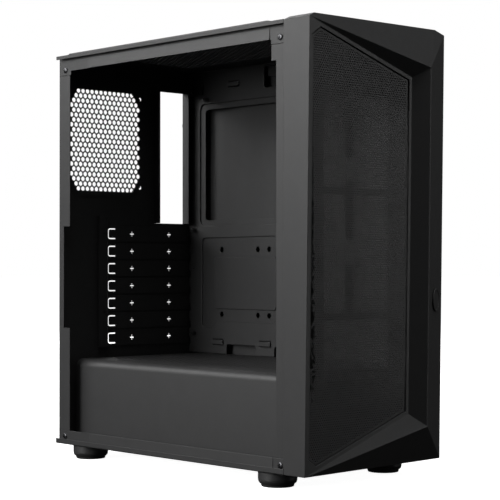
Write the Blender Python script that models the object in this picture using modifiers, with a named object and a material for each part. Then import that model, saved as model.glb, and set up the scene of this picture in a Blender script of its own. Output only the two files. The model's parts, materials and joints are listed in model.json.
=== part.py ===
"""A mid-tower computer case, modelled piece by piece. Metres, +Z up, front towards -Y.

The open side faces -X. The origin is under the middle of the case, on the surface it stands on.
"""

import math

import bmesh
import bpy
from mathutils import Matrix, Vector

# Overall sizes
BODY_WIDTH = 0.2092
BODY_HEIGHT = 0.4381
CHASSIS_DEPTH = 0.3678
FOOT_HEIGHT = 0.015
REAR_REACH = 0.0089

# Sheet metal
SHEET = 0.001
GAP = 0.0003
REACH = 0.002
THROUGH = 0.006
LIP = 0.0047
RAIL_HEIGHT = 0.0148
TOP_RAIL_HEIGHT = 0.0162
CORNER_TAB_DROP = 0.0045
CORNER_TAB_LENGTH = 0.0205
REAR_POST_WIDTH = 0.0196
REAR_POST_NARROW = 0.0083
REAR_NOTCH_BELOW_FAN = 0.1005
REAR_NOTCH_HEIGHT = 0.1148
FRONT_POST_WIDTH = 0.0145
FRONT_POST_FLARE = 0.0066
FRONT_FLARE_DROP = 0.016
COVER_EDGE = 0.0038
CABLE_SPACE = 0.0111

# Motherboard standard sizes
SLOT_PITCH = 0.02032
SLOT_COUNT = 7
BOARD_ROWS = (0.12446, 0.15748)
BOARD_COLUMNS = (0.15494, 0.07239)
BOARD_CORNER_INSET = 0.02286
BOARD_EDGE_INSET = 0.01227
IO_WIDTH = 0.04445
IO_HEIGHT = 0.15875
IO_FLANGE = 0.010
FAN_HOLE_PITCH = 0.105
FAN_HOLE_RADIUS = 0.0022
FAN_SIZE = 0.120
STANDOFF_HEIGHT = 0.0065
STANDOFF_RADIUS = 0.003
STANDOFF_SHANK = 0.0016

# Rear panel features
REAR_FAN_DROP = 0.0923
REAR_FAN_FROM_LEFT = 0.0692
VENT_HALF_WIDTH = 0.0535
VENT_HALF_HEIGHT = 0.0585
VENT_CORNER = 0.014
SLOT_OPEN_LENGTH = 0.1222
SLOT_OPEN_HEIGHT = 0.0132
SLOT_COVER_LENGTH = 0.1235
SLOT_COVER_HEIGHT = 0.0184
SLOT_LEDGE_WIDTH = 0.0135
SLOT_LEDGE_DEPTH = 0.004
SLOT_SCREW_HOLE = 0.0016
SLOT_BELOW_FAN = 0.1077
SLOT_RIGHT_OF_FAN = 0.0645
IO_RIGHT_OF_FAN = 0.0977
IO_BELOW_FAN = 0.0149
BOARD_TOP_ABOVE_FAN = 0.0555
PSU_OPEN_WIDTH = 0.146
PSU_OPEN_HEIGHT = 0.074
PSU_OPEN_BELOW_SHROUD = 0.004
PSU_OPEN_RIGHT_OF_FAN = 0.045

# Motherboard tray
CPU_CUT_WIDTH = 0.138
CPU_CUT_HEIGHT = 0.1338
CPU_CUT_FROM_REAR = 0.0295
CPU_CUT_BELOW_HOLES = 0.0122
CABLE_CUT_HEIGHT = 0.0245
CABLE_CUT_ABOVE_HOLES = 0.0065
TOP_CABLE_CUTS = ((0.005, 0.023), (0.1335, 0.040))
LOW_CABLE_CUTS = ((0.0683, 0.0505), (0.1501, 0.050))
LOW_CABLE_CUT_HEIGHT = 0.0118
SIDE_CUT_COUNT = 3
SIDE_CUT_PITCH = 0.090
SIDE_CUT_HEIGHT = 0.064
SIDE_CUT_WIDTH = 0.028
SIDE_CUT_FROM_HOLES = 0.0225
SIDE_CUT_BELOW_HOLES = 0.0183

# Front frame
FRONT_OPEN_WIDTH = 0.094
FRONT_OPEN_FROM_LEFT = 0.0561
FRONT_OPEN_TOP_DROP = 0.065
FRONT_OPEN_BOTTOM_RISE = 0.030
CROSSBAR_HEIGHT = 0.0075
CROSSBAR_PITCH = 0.1255
CROSSBAR_COUNT = 2
CROSSBAR_TOP_DROP = 0.159

# Roof
ROOF_OPEN_MARGIN = 0.002
ROOF_OPEN_FROM_REAR = 0.040

# Shroud over the power supply and the drives
SHROUD_HEIGHT = 0.0953
SHROUD_INSET = 0.0145
SHROUD_BEND = 0.009
SHROUD_REAR_GAP = 0.012
CAGE_WIDTH = 0.110
CAGE_LENGTH = 0.150
CAGE_BAY_HEIGHT = 0.034
CAGE_BAYS = 2
CAGE_FROM_PANEL = 0.004
CAGE_FROM_POST = 0.003
DRIVE_TRAY_HEIGHT = 0.012
DRIVE_TRAY_WALL = 0.0018
DRIVE_TRAY_SHORT = 0.002

# Front panel
PANEL_DEPTH_TOP = 0.0356
PANEL_DEPTH_BOTTOM = 0.0286
PANEL_WALL = 0.0022
RIDGE_RISE = 0.012
RIDGE_FROM_RIGHT = 0.0451
RIDGE_TOP_DROP = 0.036
RIDGE_BOTTOM_RISE = 0.0378
BORDER_FROM_RIGHT = 0.0611
BORDER_TOP_DROP = 0.0463
BORDER_BOTTOM_RISE = 0.0506
BORDER_WIDTH = 0.004
MESH_CHAMFER = 0.0116
MESH_RECESS = 0.0014
MESH_THICKNESS = 0.0008
PANEL_TOP_GAP = 0.0006
PANEL_BOTTOM_GAP = 0.0002
CREST_LEFT = (0.0084, 0.0021, 0.0039)
CREST_RIGHT = (0.014, 0.0100, 0.0077)
RIGHT_CORNER_BACK = 0.0092
RIGHT_CORNER_RISE = 0.0032
BADGE_RADIUS = 0.012
BADGE_THICKNESS = 0.001
BADGE_FROM_RIDGE = 0.031
BADGE_BELOW_RIDGE_TOP = 0.2549

# Feet, filters, buttons and sockets
FOOT_RADIUS = 0.0195
FOOT_INSET_LEFT = 0.0206
FOOT_INSET_RIGHT = 0.0341
FOOT_INSET_REAR = 0.0381
FOOT_INSET_FRONT = 0.0286
FILTER_THICKNESS = 0.003
FILTER_INSET = 0.009
FILTER_TO_STRIP = 0.006
RAIL_GAP = 0.0004
RAIL_WEB = 0.0018
RAIL_LEDGE = 0.003
RAIL_SHORT = 0.004
RAIL_OUTSIDE = 0.0065
RAIL_TO_FOOT = 0.002
PSU_FILTER_LENGTH = 0.168
PSU_FILTER_THICKNESS = 0.0025
IO_STRIP_WIDTH = 0.132
IO_STRIP_DEPTH = 0.022
IO_STRIP_HEIGHT = 0.0028
IO_STRIP_FROM_FRONT = 0.003
IO_STRIP_FROM_RIGHT = 0.012
IO_BOARD_SPAN = (-0.9, 0.98)
IO_BOARD_MARGIN = 0.001
IO_BOARD_THICKNESS = 0.0016
POWER_SHARE = 0.82
RESET_SHARE = 0.50
JACK_SHARE = 0.18
USB_SHARES = (-0.22, -0.68)
POWER_RADIUS = 0.0065
RESET_RADIUS = 0.0035
BUTTON_PROUD = 0.0012
BUTTON_CLEARANCE = 0.0004
BUTTON_CAP_DEPTH = 0.005
BUTTON_STEM_SHARE = 0.45
BUTTON_ROOM = 0.003
EDGE_BREAK = 0.0005
USB_WIDTH = 0.0146
USB_HEIGHT = 0.0074
USB_DEPTH = 0.014
USB_WALL = 0.0006
JACK_RADIUS = 0.0040
JACK_BORE = 0.00185
JACK_END_WALL = 0.002
FOOT_PAD_THICKNESS = 0.0025
FOOT_PAD_INSET = 0.003
FOOT_TAPER_HEIGHT = 0.006
FOOT_TAPER = 0.0022
SCREW_HEAD_RADIUS = 0.0031
SCREW_HEAD_HEIGHT = 0.0012
SCREW_DRIVE_RADIUS = 0.0009
SCREW_DRIVE_DEPTH = 0.0008
SCREW_FROM_REAR = 0.0105
SCREW_FROM_FRONT = 0.0085
SCREW_ABOVE_TAB = 0.006
SCREW_BELOW_RAIL = 0.0065
THUMB_RADIUS = 0.006
THUMB_SHANK = 0.0017
THUMB_SHANK_LENGTH = 0.006
THUMB_FROM_END = 0.0657
EAR_HALF_HEIGHT = 0.009
EAR_PAST_SCREW = 0.007
EAR_WEB = 0.004
ROUND_STEPS = 24

# Planes that follow from the sizes above
RIDGE_TOP_SHARE = 1 - (PANEL_TOP_GAP + RIDGE_TOP_DROP) / BODY_HEIGHT
PANEL_LEAN = PANEL_DEPTH_TOP - PANEL_DEPTH_BOTTOM
FRONT_REACH = PANEL_DEPTH_BOTTOM + RIDGE_TOP_SHARE * PANEL_LEAN + RIDGE_RISE
TOTAL_DEPTH = REAR_REACH + CHASSIS_DEPTH + GAP + FRONT_REACH
X_LEFT = -BODY_WIDTH / 2
X_RIGHT = BODY_WIDTH / 2
X_FRAME_LEFT = X_LEFT + LIP
X_FRAME_RIGHT = X_RIGHT - LIP
X_TRAY = X_RIGHT - CABLE_SPACE
Y_REAR = TOTAL_DEPTH / 2 - REAR_REACH
Y_INSIDE_REAR = Y_REAR - SHEET
Y_FRONT = Y_REAR - CHASSIS_DEPTH
Y_SEAM = Y_FRONT - GAP
Y_INSIDE_FRONT = Y_FRONT + SHEET
Z_BASE = FOOT_HEIGHT
Z_TOP = FOOT_HEIGHT + BODY_HEIGHT
Z_FLOOR = Z_BASE + SHEET
Z_FRAME_TOP = Z_TOP - SHEET - GAP
Z_RAIL_BOTTOM = Z_BASE + RAIL_HEIGHT
Z_RAIL_TOP = Z_FRAME_TOP - TOP_RAIL_HEIGHT
Z_TAB = Z_RAIL_TOP - CORNER_TAB_DROP
Z_SHROUD = Z_BASE + SHROUD_HEIGHT
X_FAN = X_LEFT + REAR_FAN_FROM_LEFT
Z_FAN = Z_TOP - REAR_FAN_DROP
Z_STRIP = Z_TOP + GAP + IO_STRIP_HEIGHT


def clear_scene():
    for obj in list(bpy.data.objects):
        bpy.data.objects.remove(obj, do_unlink=True)


def new_collection(name, hidden):
    collection = bpy.data.collections.new(name)
    bpy.context.scene.collection.children.link(collection)
    collection.hide_render = hidden
    return collection


def material(name, colour, roughness, metallic):
    made = bpy.data.materials.new(name)
    made.use_nodes = True
    shader = made.node_tree.nodes["Principled BSDF"]
    shader.inputs["Base Color"].default_value = (*colour, 1.0)
    shader.inputs["Roughness"].default_value = roughness
    shader.inputs["Metallic"].default_value = metallic
    return made


def add_part(name, mesh, finish, location=(0, 0, 0)):
    obj = bpy.data.objects.new(name, mesh)
    obj.location = location
    mesh.materials.append(finish)
    PARTS.objects.link(obj)
    return obj


def add_cutter(name, mesh):
    obj = bpy.data.objects.new(name, mesh)
    obj.hide_render = True
    obj.display_type = "WIRE"
    CUTTERS.objects.link(obj)
    return obj


def mesh_from(bm, name):
    mesh = bpy.data.meshes.new(name)
    bm.to_mesh(mesh)
    bm.free()
    return mesh


def put_cube(bm, low, high):
    size = [high[i] - low[i] for i in range(3)]
    middle = [(high[i] + low[i]) / 2 for i in range(3)]
    matrix = Matrix.Translation(middle) @ Matrix.Diagonal((*size, 1.0))
    return bmesh.ops.create_cube(bm, size=1.0, matrix=matrix)["verts"]


def turn_to(axis):
    return Vector((0, 0, 1)).rotation_difference(Vector(axis)).to_matrix().to_4x4()


def put_cylinder(bm, centre, radius, length, axis, steps=ROUND_STEPS):
    matrix = Matrix.Translation(centre) @ turn_to(axis)
    bmesh.ops.create_cone(
        bm,
        cap_ends=True,
        segments=steps,
        radius1=radius,
        radius2=radius,
        depth=length,
        matrix=matrix,
    )


def cut_away(obj, name, boxes=(), rounds=()):
    """Cuts boxes (low, high) and cylinders (centre, radius, length, axis) out of a piece."""
    bm = bmesh.new()
    for low, high in boxes:
        put_cube(bm, low, high)
    for centre, radius, length, axis in rounds:
        put_cylinder(bm, centre, radius, length, axis)
    cut_with(obj, add_cutter(name, mesh_from(bm, name)))


def cut_with(obj, cutter):
    place = Matrix.Translation(obj.location)
    cutter.data.transform(place.inverted())
    cutter.location = obj.location
    modifier = obj.modifiers.new(cutter.name, "BOOLEAN")
    modifier.operation = "DIFFERENCE"
    modifier.solver = "EXACT"
    modifier.object = cutter


def join_boxes(obj, name, boxes):
    for number, (low, high) in enumerate(boxes):
        bm = bmesh.new()
        put_cube(bm, low, high)
        helper = add_cutter(f"{name}_{number}", mesh_from(bm, name))
        modifier = obj.modifiers.new(helper.name, "BOOLEAN")
        modifier.operation = "UNION"
        modifier.solver = "EXACT"
        modifier.object = helper


def block(name, low, high, finish):
    bm = bmesh.new()
    put_cube(bm, low, high)
    return add_part(name, mesh_from(bm, name), finish)


def pan(name, low, high, open_side, finish, wall=SHEET):
    """A box of sheet with one side left open, its outer faces on low and high."""
    bm = bmesh.new()
    put_cube(bm, low, high)
    facing = Vector(open_side)
    for face in list(bm.faces):
        if face.normal.dot(facing) > 0.9:
            bmesh.ops.delete(bm, geom=[face], context="FACES_ONLY")
    obj = add_part(name, mesh_from(bm, name), finish)
    thicken(obj, wall)
    return obj


def thicken(obj, wall):
    modifier = obj.modifiers.new("wall", "SOLIDIFY")
    modifier.thickness = wall
    modifier.offset = -1.0
    modifier.use_even_offset = True
    modifier.use_quality_normals = True


def folded_sheet(name, profile, y_low, y_high, finish, wall=SHEET):
    """A sheet folded along a profile of (x, z) points, running from y_low to y_high."""
    bm = bmesh.new()
    row = [bm.verts.new((x, y_low, z)) for x, z in profile]
    edges = [bm.edges.new(pair) for pair in zip(row, row[1:])]
    grown = bmesh.ops.extrude_edge_only(bm, edges=edges)["geom"]
    moved = [item for item in grown if isinstance(item, bmesh.types.BMVert)]
    bmesh.ops.translate(bm, verts=moved, vec=(0, y_high - y_low, 0))
    obj = add_part(name, mesh_from(bm, name), finish)
    thicken(obj, wall)
    return obj


def arc(centre, radius, start, end, steps):
    """Points on an arc from start to end, in degrees."""
    angles = [math.radians(start + (end - start) * i / steps) for i in range(steps + 1)]
    return [(centre[0] + radius * math.cos(a), centre[1] + radius * math.sin(a)) for a in angles]


def turned(name, profile, base, axis, finish, steps=ROUND_STEPS):
    """A solid of revolution: profile of (radius, height), top to bottom, about axis through base."""
    bm = bmesh.new()
    points = [bm.verts.new((radius, 0, height)) for radius, height in profile]
    for pair in zip(points, points[1:]):
        bm.edges.new(pair)
    obj = add_part(name, mesh_from(bm, name), finish, base)
    obj.rotation_euler = turn_to(axis).to_euler()
    screw = obj.modifiers.new("turn", "SCREW")
    screw.steps = steps
    screw.render_steps = steps
    screw.use_merge_vertices = True
    screw.merge_threshold = 0.00001
    screw.use_smooth_shade = True
    return obj


def outline_plate(name, outline, y_of, thickness, finish):
    """A plate from an (x, z) outline whose front face follows y_of(z)."""
    curve = bpy.data.curves.new(name, "CURVE")
    curve.dimensions = "2D"
    curve.fill_mode = "BOTH"
    curve.extrude = thickness / 2
    spline = curve.splines.new("POLY")
    spline.points.add(len(outline) - 1)
    for point, (x, z) in zip(spline.points, outline):
        point.co = (x, z, 0, 1)
    spline.use_cyclic_u = True
    helper = bpy.data.objects.new(name, curve)
    CUTTERS.objects.link(helper)
    bpy.context.view_layer.update()
    graph = bpy.context.evaluated_depsgraph_get()
    mesh = bpy.data.meshes.new_from_object(helper.evaluated_get(graph))
    bpy.data.objects.remove(helper)
    bm = bmesh.new()
    bm.from_mesh(mesh)
    bmesh.ops.remove_doubles(bm, verts=bm.verts, dist=0.00001)
    for vert in bm.verts:
        x, z, depth = vert.co
        vert.co = (x, y_of(z) + thickness / 2 - depth, z)
    bmesh.ops.recalc_face_normals(bm, faces=bm.faces)
    bpy.data.meshes.remove(mesh)
    return add_part(name, mesh_from(bm, name), finish)


def make_base():
    """The steel base: a shallow tray whose sides are the lower rails, with a lip all round."""
    low = (X_FRAME_LEFT, Y_INSIDE_FRONT + GAP, Z_BASE)
    high = (X_FRAME_RIGHT, Y_INSIDE_REAR - GAP, Z_RAIL_BOTTOM)
    base = pan("bottom_plate", low, high, (0, 0, 1), STEEL)
    lip_low = (X_LEFT, Y_FRONT, Z_BASE)
    lip_high = (X_RIGHT, Y_REAR, Z_BASE + SHEET)
    join_boxes(base, "base_lip", [(lip_low, lip_high)])


def octagon_prism(name, half_width, half_height, corner, length):
    """A chamfered rectangle about the rear fan's centre, running through the rear panel."""
    bm = bmesh.new()
    right, up = half_width, half_height
    corners = [
        (right, up - corner),
        (right - corner, up),
        (corner - right, up),
        (-right, up - corner),
        (-right, corner - up),
        (corner - right, -up),
        (right - corner, -up),
        (right, corner - up),
    ]
    start = Y_INSIDE_REAR + SHEET / 2 - length / 2
    ring = [bm.verts.new((X_FAN + x, start, Z_FAN + z)) for x, z in corners]
    cap = bm.faces.new(ring)
    grown = bmesh.ops.extrude_face_region(bm, geom=[cap])["geom"]
    moved = [item for item in grown if isinstance(item, bmesh.types.BMVert)]
    bmesh.ops.translate(bm, verts=moved, vec=(0, length, 0))
    bmesh.ops.recalc_face_normals(bm, faces=bm.faces)
    return mesh_from(bm, name)


def slot_height(number):
    return Z_FAN - SLOT_BELOW_FAN - number * SLOT_PITCH


def io_box(y_low, y_high, margin=0.0):
    middle_x = X_FAN + IO_RIGHT_OF_FAN
    middle_z = Z_FAN - IO_BELOW_FAN
    low = (middle_x - IO_WIDTH / 2 - margin, y_low, middle_z - IO_HEIGHT / 2 - margin)
    high = (middle_x + IO_WIDTH / 2 + margin, y_high, middle_z + IO_HEIGHT / 2 + margin)
    return low, high


def side_strips(y_low, y_high, z_low, z_high):
    """Boxes that take a stretch out of both side walls of a pan."""
    reach = SHEET * 2
    left = ((X_FRAME_LEFT - reach, y_low, z_low), (X_FRAME_LEFT + reach, y_high, z_high))
    right = ((X_FRAME_RIGHT - reach, y_low, z_low), (X_FRAME_RIGHT + reach, y_high, z_high))
    return [left, right]


def thumb_heights():
    return (Z_BASE + THUMB_FROM_END, Z_TOP - THUMB_FROM_END)


def thumb_x():
    return (X_TRAY + X_FRAME_RIGHT) / 2


def make_rear_panel():
    """The rear wall with its folded posts and the openings for fan, sockets, cards and supply."""
    low = (X_FRAME_LEFT, Y_REAR - REAR_POST_WIDTH, Z_FLOOR + GAP)
    high = (X_FRAME_RIGHT, Y_REAR, Z_FRAME_TOP)
    rear = pan("rear_panel", low, high, (0, -1, 0), STEEL)
    reach = BODY_WIDTH
    wall_low = Y_REAR - REAR_POST_WIDTH - REACH
    above = ((-reach, wall_low, Z_TAB - GAP), (reach, Y_INSIDE_REAR, Z_TOP + SHEET))
    below = ((-reach, wall_low, Z_BASE - SHEET), (reach, Y_INSIDE_REAR, Z_RAIL_BOTTOM + GAP))
    cut_away(rear, "rear_corner_cut", [above])
    cut_away(rear, "rear_foot_cut", [below])
    notch_high = Z_FAN - REAR_NOTCH_BELOW_FAN
    notch_low = notch_high - REAR_NOTCH_HEIGHT
    narrow = side_strips(wall_low, Y_REAR - REAR_POST_NARROW, notch_low, notch_high)
    cut_away(rear, "rear_post_notch", narrow)
    vent = octagon_prism("rear_vent_cut", VENT_HALF_WIDTH, VENT_HALF_HEIGHT, VENT_CORNER, THROUGH)
    cut_with(rear, add_cutter("rear_vent_cut", vent))
    y_low = Y_INSIDE_REAR - REACH
    y_high = Y_REAR + REACH
    slots = []
    middle_x = X_FAN + SLOT_RIGHT_OF_FAN
    for number in range(SLOT_COUNT):
        z = slot_height(number)
        slot_low = (middle_x - SLOT_OPEN_LENGTH / 2, y_low, z - SLOT_OPEN_HEIGHT / 2)
        slot_high = (middle_x + SLOT_OPEN_LENGTH / 2, y_high, z + SLOT_OPEN_HEIGHT / 2)
        slots.append((slot_low, slot_high))
    psu_x = X_FAN + PSU_OPEN_RIGHT_OF_FAN
    psu_z = Z_SHROUD - PSU_OPEN_BELOW_SHROUD - PSU_OPEN_HEIGHT / 2
    psu_low = (psu_x - PSU_OPEN_WIDTH / 2, y_low, psu_z - PSU_OPEN_HEIGHT / 2)
    psu_high = (psu_x + PSU_OPEN_WIDTH / 2, y_high, psu_z + PSU_OPEN_HEIGHT / 2)
    fan = FAN_HOLE_PITCH / 2
    holes = []
    for side in (-1, 1):
        for level in (-1, 1):
            centre = (X_FAN + side * fan, Y_INSIDE_REAR, Z_FAN + level * fan)
            holes.append((centre, FAN_HOLE_RADIUS, THROUGH, (0, 1, 0)))
    for z in thumb_heights():
        holes.append(((thumb_x(), Y_INSIDE_REAR, z), THUMB_SHANK + GAP, THROUGH, (0, 1, 0)))
    io_low, io_high = io_box(Y_INSIDE_REAR, Y_REAR)
    fold_low = Y_INSIDE_REAR - IO_FLANGE
    fold_high = Y_REAR - SHEET / 2
    left_fold = ((io_low[0] - SHEET, fold_low, io_low[2]), (io_low[0], fold_high, io_high[2]))
    right_fold = ((io_high[0], fold_low, io_low[2]), (io_high[0] + SHEET, fold_high, io_high[2]))
    cut_away(rear, "rear_openings", slots + [(psu_low, psu_high), io_box(y_low, y_high)], holes)
    join_boxes(rear, "io_fold", [left_fold, right_fold])


def make_vent_grille():
    """The perforated field of the rear fan vent, as a plain plate."""
    mesh = octagon_prism(
        "rear_vent_grille",
        VENT_HALF_WIDTH - GAP,
        VENT_HALF_HEIGHT - GAP,
        VENT_CORNER,
        SHEET,
    )
    add_part("rear_vent_grille", mesh, STEEL)


def make_slot_covers():
    middle_x = X_FAN + SLOT_RIGHT_OF_FAN
    half_length = SLOT_COVER_LENGTH / 2
    half_height = SLOT_COVER_HEIGHT / 2
    y_high = Y_INSIDE_REAR - GAP
    for number in range(SLOT_COUNT):
        z = slot_height(number)
        low = (middle_x - half_length, y_high - SHEET, z - half_height)
        high = (middle_x + half_length, y_high, z + half_height)
        block(f"slot_cover_{number + 1}", low, high, STEEL)


def make_slot_ledge():
    """The folded strip beside the slots that the card brackets screw to."""
    right = X_FAN + SLOT_RIGHT_OF_FAN - SLOT_COVER_LENGTH / 2 - GAP
    left = right - SLOT_LEDGE_WIDTH
    z_low = slot_height(SLOT_COUNT - 1) - SLOT_PITCH / 2
    z_high = slot_height(0) + SLOT_PITCH
    top = Y_INSIDE_REAR - GAP
    low = (left, top - SLOT_LEDGE_DEPTH, z_low)
    high = (right, top, z_high)
    ledge = pan("slot_ledge", low, high, (0, 1, 0), STEEL)
    heights = (slot_height(0), slot_height(SLOT_COUNT - 2) + SLOT_PITCH / 2)
    middle = (left + right) / 2
    face = top - SLOT_LEDGE_DEPTH
    rounds = [((middle, face, z), SLOT_SCREW_HOLE, THROUGH, (0, 1, 0)) for z in heights]
    cut_away(ledge, "slot_ledge_holes", (), rounds)


def board_holes():
    """(y, z) of the motherboard's nine mounting points."""
    rear = Y_INSIDE_REAR - BOARD_EDGE_INSET
    columns = (rear, rear - BOARD_COLUMNS[0], rear - BOARD_COLUMNS[0] - BOARD_COLUMNS[1])
    top = Z_FAN + BOARD_TOP_ABOVE_FAN
    rows = (top, top - BOARD_ROWS[1], top - BOARD_ROWS[1] - BOARD_ROWS[0])
    holes = []
    for row, z in enumerate(rows):
        for column, y in enumerate(columns):
            inset = BOARD_CORNER_INSET if row == 0 and column == 0 else 0.0
            holes.append((y - inset, z))
    return holes


def tray_cut(y_high, width, z_low, height):
    low = (X_TRAY - SHEET, y_high - width, z_low)
    high = (X_TRAY + SHEET * 2, y_high, z_low + height)
    return low, high


def make_tray():
    """The wall that the motherboard screws to, with its processor window and cable cut-outs."""
    low = (X_TRAY, Y_FRONT + FRONT_POST_WIDTH + FRONT_POST_FLARE + SHEET, Z_SHROUD + GAP)
    high = (X_TRAY + SHEET, Y_INSIDE_REAR - 2 * GAP, Z_FRAME_TOP - SHEET - GAP)
    tray = block("motherboard_tray", low, high, STEEL)
    top_row = board_holes()[0][1]
    front_column = board_holes()[2][0]
    window_y = Y_INSIDE_REAR - CPU_CUT_FROM_REAR
    window_z = top_row - CPU_CUT_BELOW_HOLES - CPU_CUT_HEIGHT
    cuts = [tray_cut(window_y, CPU_CUT_WIDTH, window_z, CPU_CUT_HEIGHT)]
    for from_rear, width in TOP_CABLE_CUTS:
        bottom = top_row + CABLE_CUT_ABOVE_HOLES
        cuts.append(tray_cut(Y_INSIDE_REAR - from_rear, width, bottom, CABLE_CUT_HEIGHT))
    for from_rear, width in LOW_CABLE_CUTS:
        height = LOW_CABLE_CUT_HEIGHT + SHEET
        cuts.append(tray_cut(Y_INSIDE_REAR - from_rear, width, Z_SHROUD - SHEET, height))
    side_y = front_column - SIDE_CUT_FROM_HOLES
    for number in range(SIDE_CUT_COUNT):
        bottom = top_row - SIDE_CUT_BELOW_HOLES - SIDE_CUT_HEIGHT - number * SIDE_CUT_PITCH
        cuts.append(tray_cut(side_y, SIDE_CUT_WIDTH, bottom, SIDE_CUT_HEIGHT))
    hole = STANDOFF_SHANK + GAP
    rounds = [((X_TRAY, y, z), hole, THROUGH, (1, 0, 0)) for y, z in board_holes()]
    cut_away(tray, "tray_cuts", cuts, rounds)


def make_standoffs():
    """Nine plated posts that hold the motherboard off the tray."""
    profile = [
        (0, STANDOFF_HEIGHT),
        (STANDOFF_RADIUS, STANDOFF_HEIGHT),
        (STANDOFF_RADIUS, 0),
        (STANDOFF_SHANK, 0),
        (STANDOFF_SHANK, -SHEET * 2),
        (0, -SHEET * 2),
    ]
    for number, (y, z) in enumerate(board_holes()):
        base = (X_TRAY - GAP, y, z)
        turned(f"standoff_{number + 1}", profile, base, (-1, 0, 0), ZINC, steps=6)


def make_top_frame():
    """The upper rails and the roof sheet that joins them, with the roof fan opening."""
    low = (X_FRAME_LEFT, Y_INSIDE_FRONT + GAP, Z_TAB)
    high = (X_FRAME_RIGHT, Y_INSIDE_REAR - GAP, Z_FRAME_TOP)
    frame = pan("top_frame", low, high, (0, 0, -1), STEEL)
    reach = BODY_WIDTH
    span_low = Y_FRONT + CORNER_TAB_LENGTH + SHEET
    span_high = Y_INSIDE_REAR - CORNER_TAB_LENGTH
    middle = ((-reach, span_low, Z_TAB - SHEET), (reach, span_high, Z_RAIL_TOP))
    front = (
        (X_FRAME_LEFT + SHEET, Y_FRONT - SHEET, Z_TAB - SHEET),
        (X_FRAME_RIGHT - SHEET, Y_FRONT + SHEET * 3, Z_FRAME_TOP - SHEET),
    )
    back = (
        (X_FRAME_LEFT + SHEET, Y_REAR - SHEET * 3, Z_TAB - SHEET),
        (X_FRAME_RIGHT - SHEET, Y_REAR + SHEET, Z_FRAME_TOP - SHEET),
    )
    cut_away(frame, "top_rail_cut", [middle])
    cut_away(frame, "top_end_cut", [front, back])
    cut_away(frame, "top_fan_cut", [roof_opening(0.0), *io_passages()], io_rounds())


def roof_opening(margin):
    half = FAN_SIZE / 2 + ROOF_OPEN_MARGIN - margin
    y_high = Y_INSIDE_REAR - ROOF_OPEN_FROM_REAR - margin
    y_low = y_high - 2 * (FAN_SIZE + ROOF_OPEN_MARGIN - margin)
    return (-half, y_low, Z_FRAME_TOP - SHEET * 3), (half, y_high, Z_TOP + SHEET)


def make_roof_grille():
    """The perforated field over the roof fans, as a plain plate."""
    low, high = roof_opening(GAP)
    bottom = Z_FRAME_TOP - SHEET
    block("top_vent_grille", (low[0], low[1], bottom), (high[0], high[1], Z_FRAME_TOP), STEEL)


def make_top_cover():
    """The outer roof sheet, whose folded edge overhangs the rails."""
    low = (X_LEFT, Y_FRONT, Z_TOP - COVER_EDGE)
    high = (X_RIGHT, Y_REAR, Z_TOP)
    cover = pan("top_cover", low, high, (0, 0, -1), STEEL)
    end_front = (
        (X_LEFT + SHEET, Y_FRONT - SHEET, Z_TOP - COVER_EDGE - SHEET),
        (X_RIGHT - SHEET, Y_FRONT + SHEET * 2, Z_TOP - SHEET),
    )
    end_back = (
        (X_LEFT + SHEET, Y_REAR - SHEET * 2, Z_TOP - COVER_EDGE - SHEET),
        (X_RIGHT - SHEET, Y_REAR + SHEET, Z_TOP - SHEET),
    )
    cut_away(cover, "cover_end_cut", [end_front, end_back])
    cut_away(cover, "cover_fan_cut", [roof_opening(0.0), *io_passages()], io_rounds())


def make_top_filter():
    """The magnetic dust filter that lies on the roof."""
    low = (X_LEFT + FILTER_INSET, strip_rear() + FILTER_TO_STRIP, Z_TOP + GAP)
    high = (X_RIGHT - FILTER_INSET, Y_REAR - FILTER_INSET, Z_TOP + GAP + FILTER_THICKNESS)
    block("top_filter", low, high, FILTER)


def strip_front():
    return Y_FRONT + IO_STRIP_FROM_FRONT


def strip_rear():
    return strip_front() + IO_STRIP_DEPTH


def strip_middle():
    return (strip_front() + strip_rear()) / 2


def strip_x(share):
    """X along the socket strip, from -1 at its left end to 1 at its right end."""
    return X_RIGHT - IO_STRIP_FROM_RIGHT - IO_STRIP_WIDTH / 2 + share * IO_STRIP_WIDTH / 2


def io_rounds():
    """Clearance holes for the buttons and the jack, through the roof and the strip."""
    y = strip_middle()
    spots = (
        (POWER_SHARE, POWER_RADIUS),
        (RESET_SHARE, RESET_RADIUS),
        (JACK_SHARE, JACK_RADIUS),
    )
    return [
        ((strip_x(share), y, Z_TOP), radius + BUTTON_CLEARANCE, 2 * USB_DEPTH, (0, 0, 1))
        for share, radius in spots
    ]


def io_passages():
    """Clearance holes for the two sockets."""
    boxes = []
    for share in USB_SHARES:
        x = strip_x(share)
        half_x = USB_WIDTH / 2 + GAP
        half_y = USB_HEIGHT / 2 + GAP
        low = (x - half_x, strip_middle() - half_y, Z_TOP - USB_DEPTH)
        high = (x + half_x, strip_middle() + half_y, Z_TOP + USB_DEPTH)
        boxes.append((low, high))
    return boxes


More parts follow.
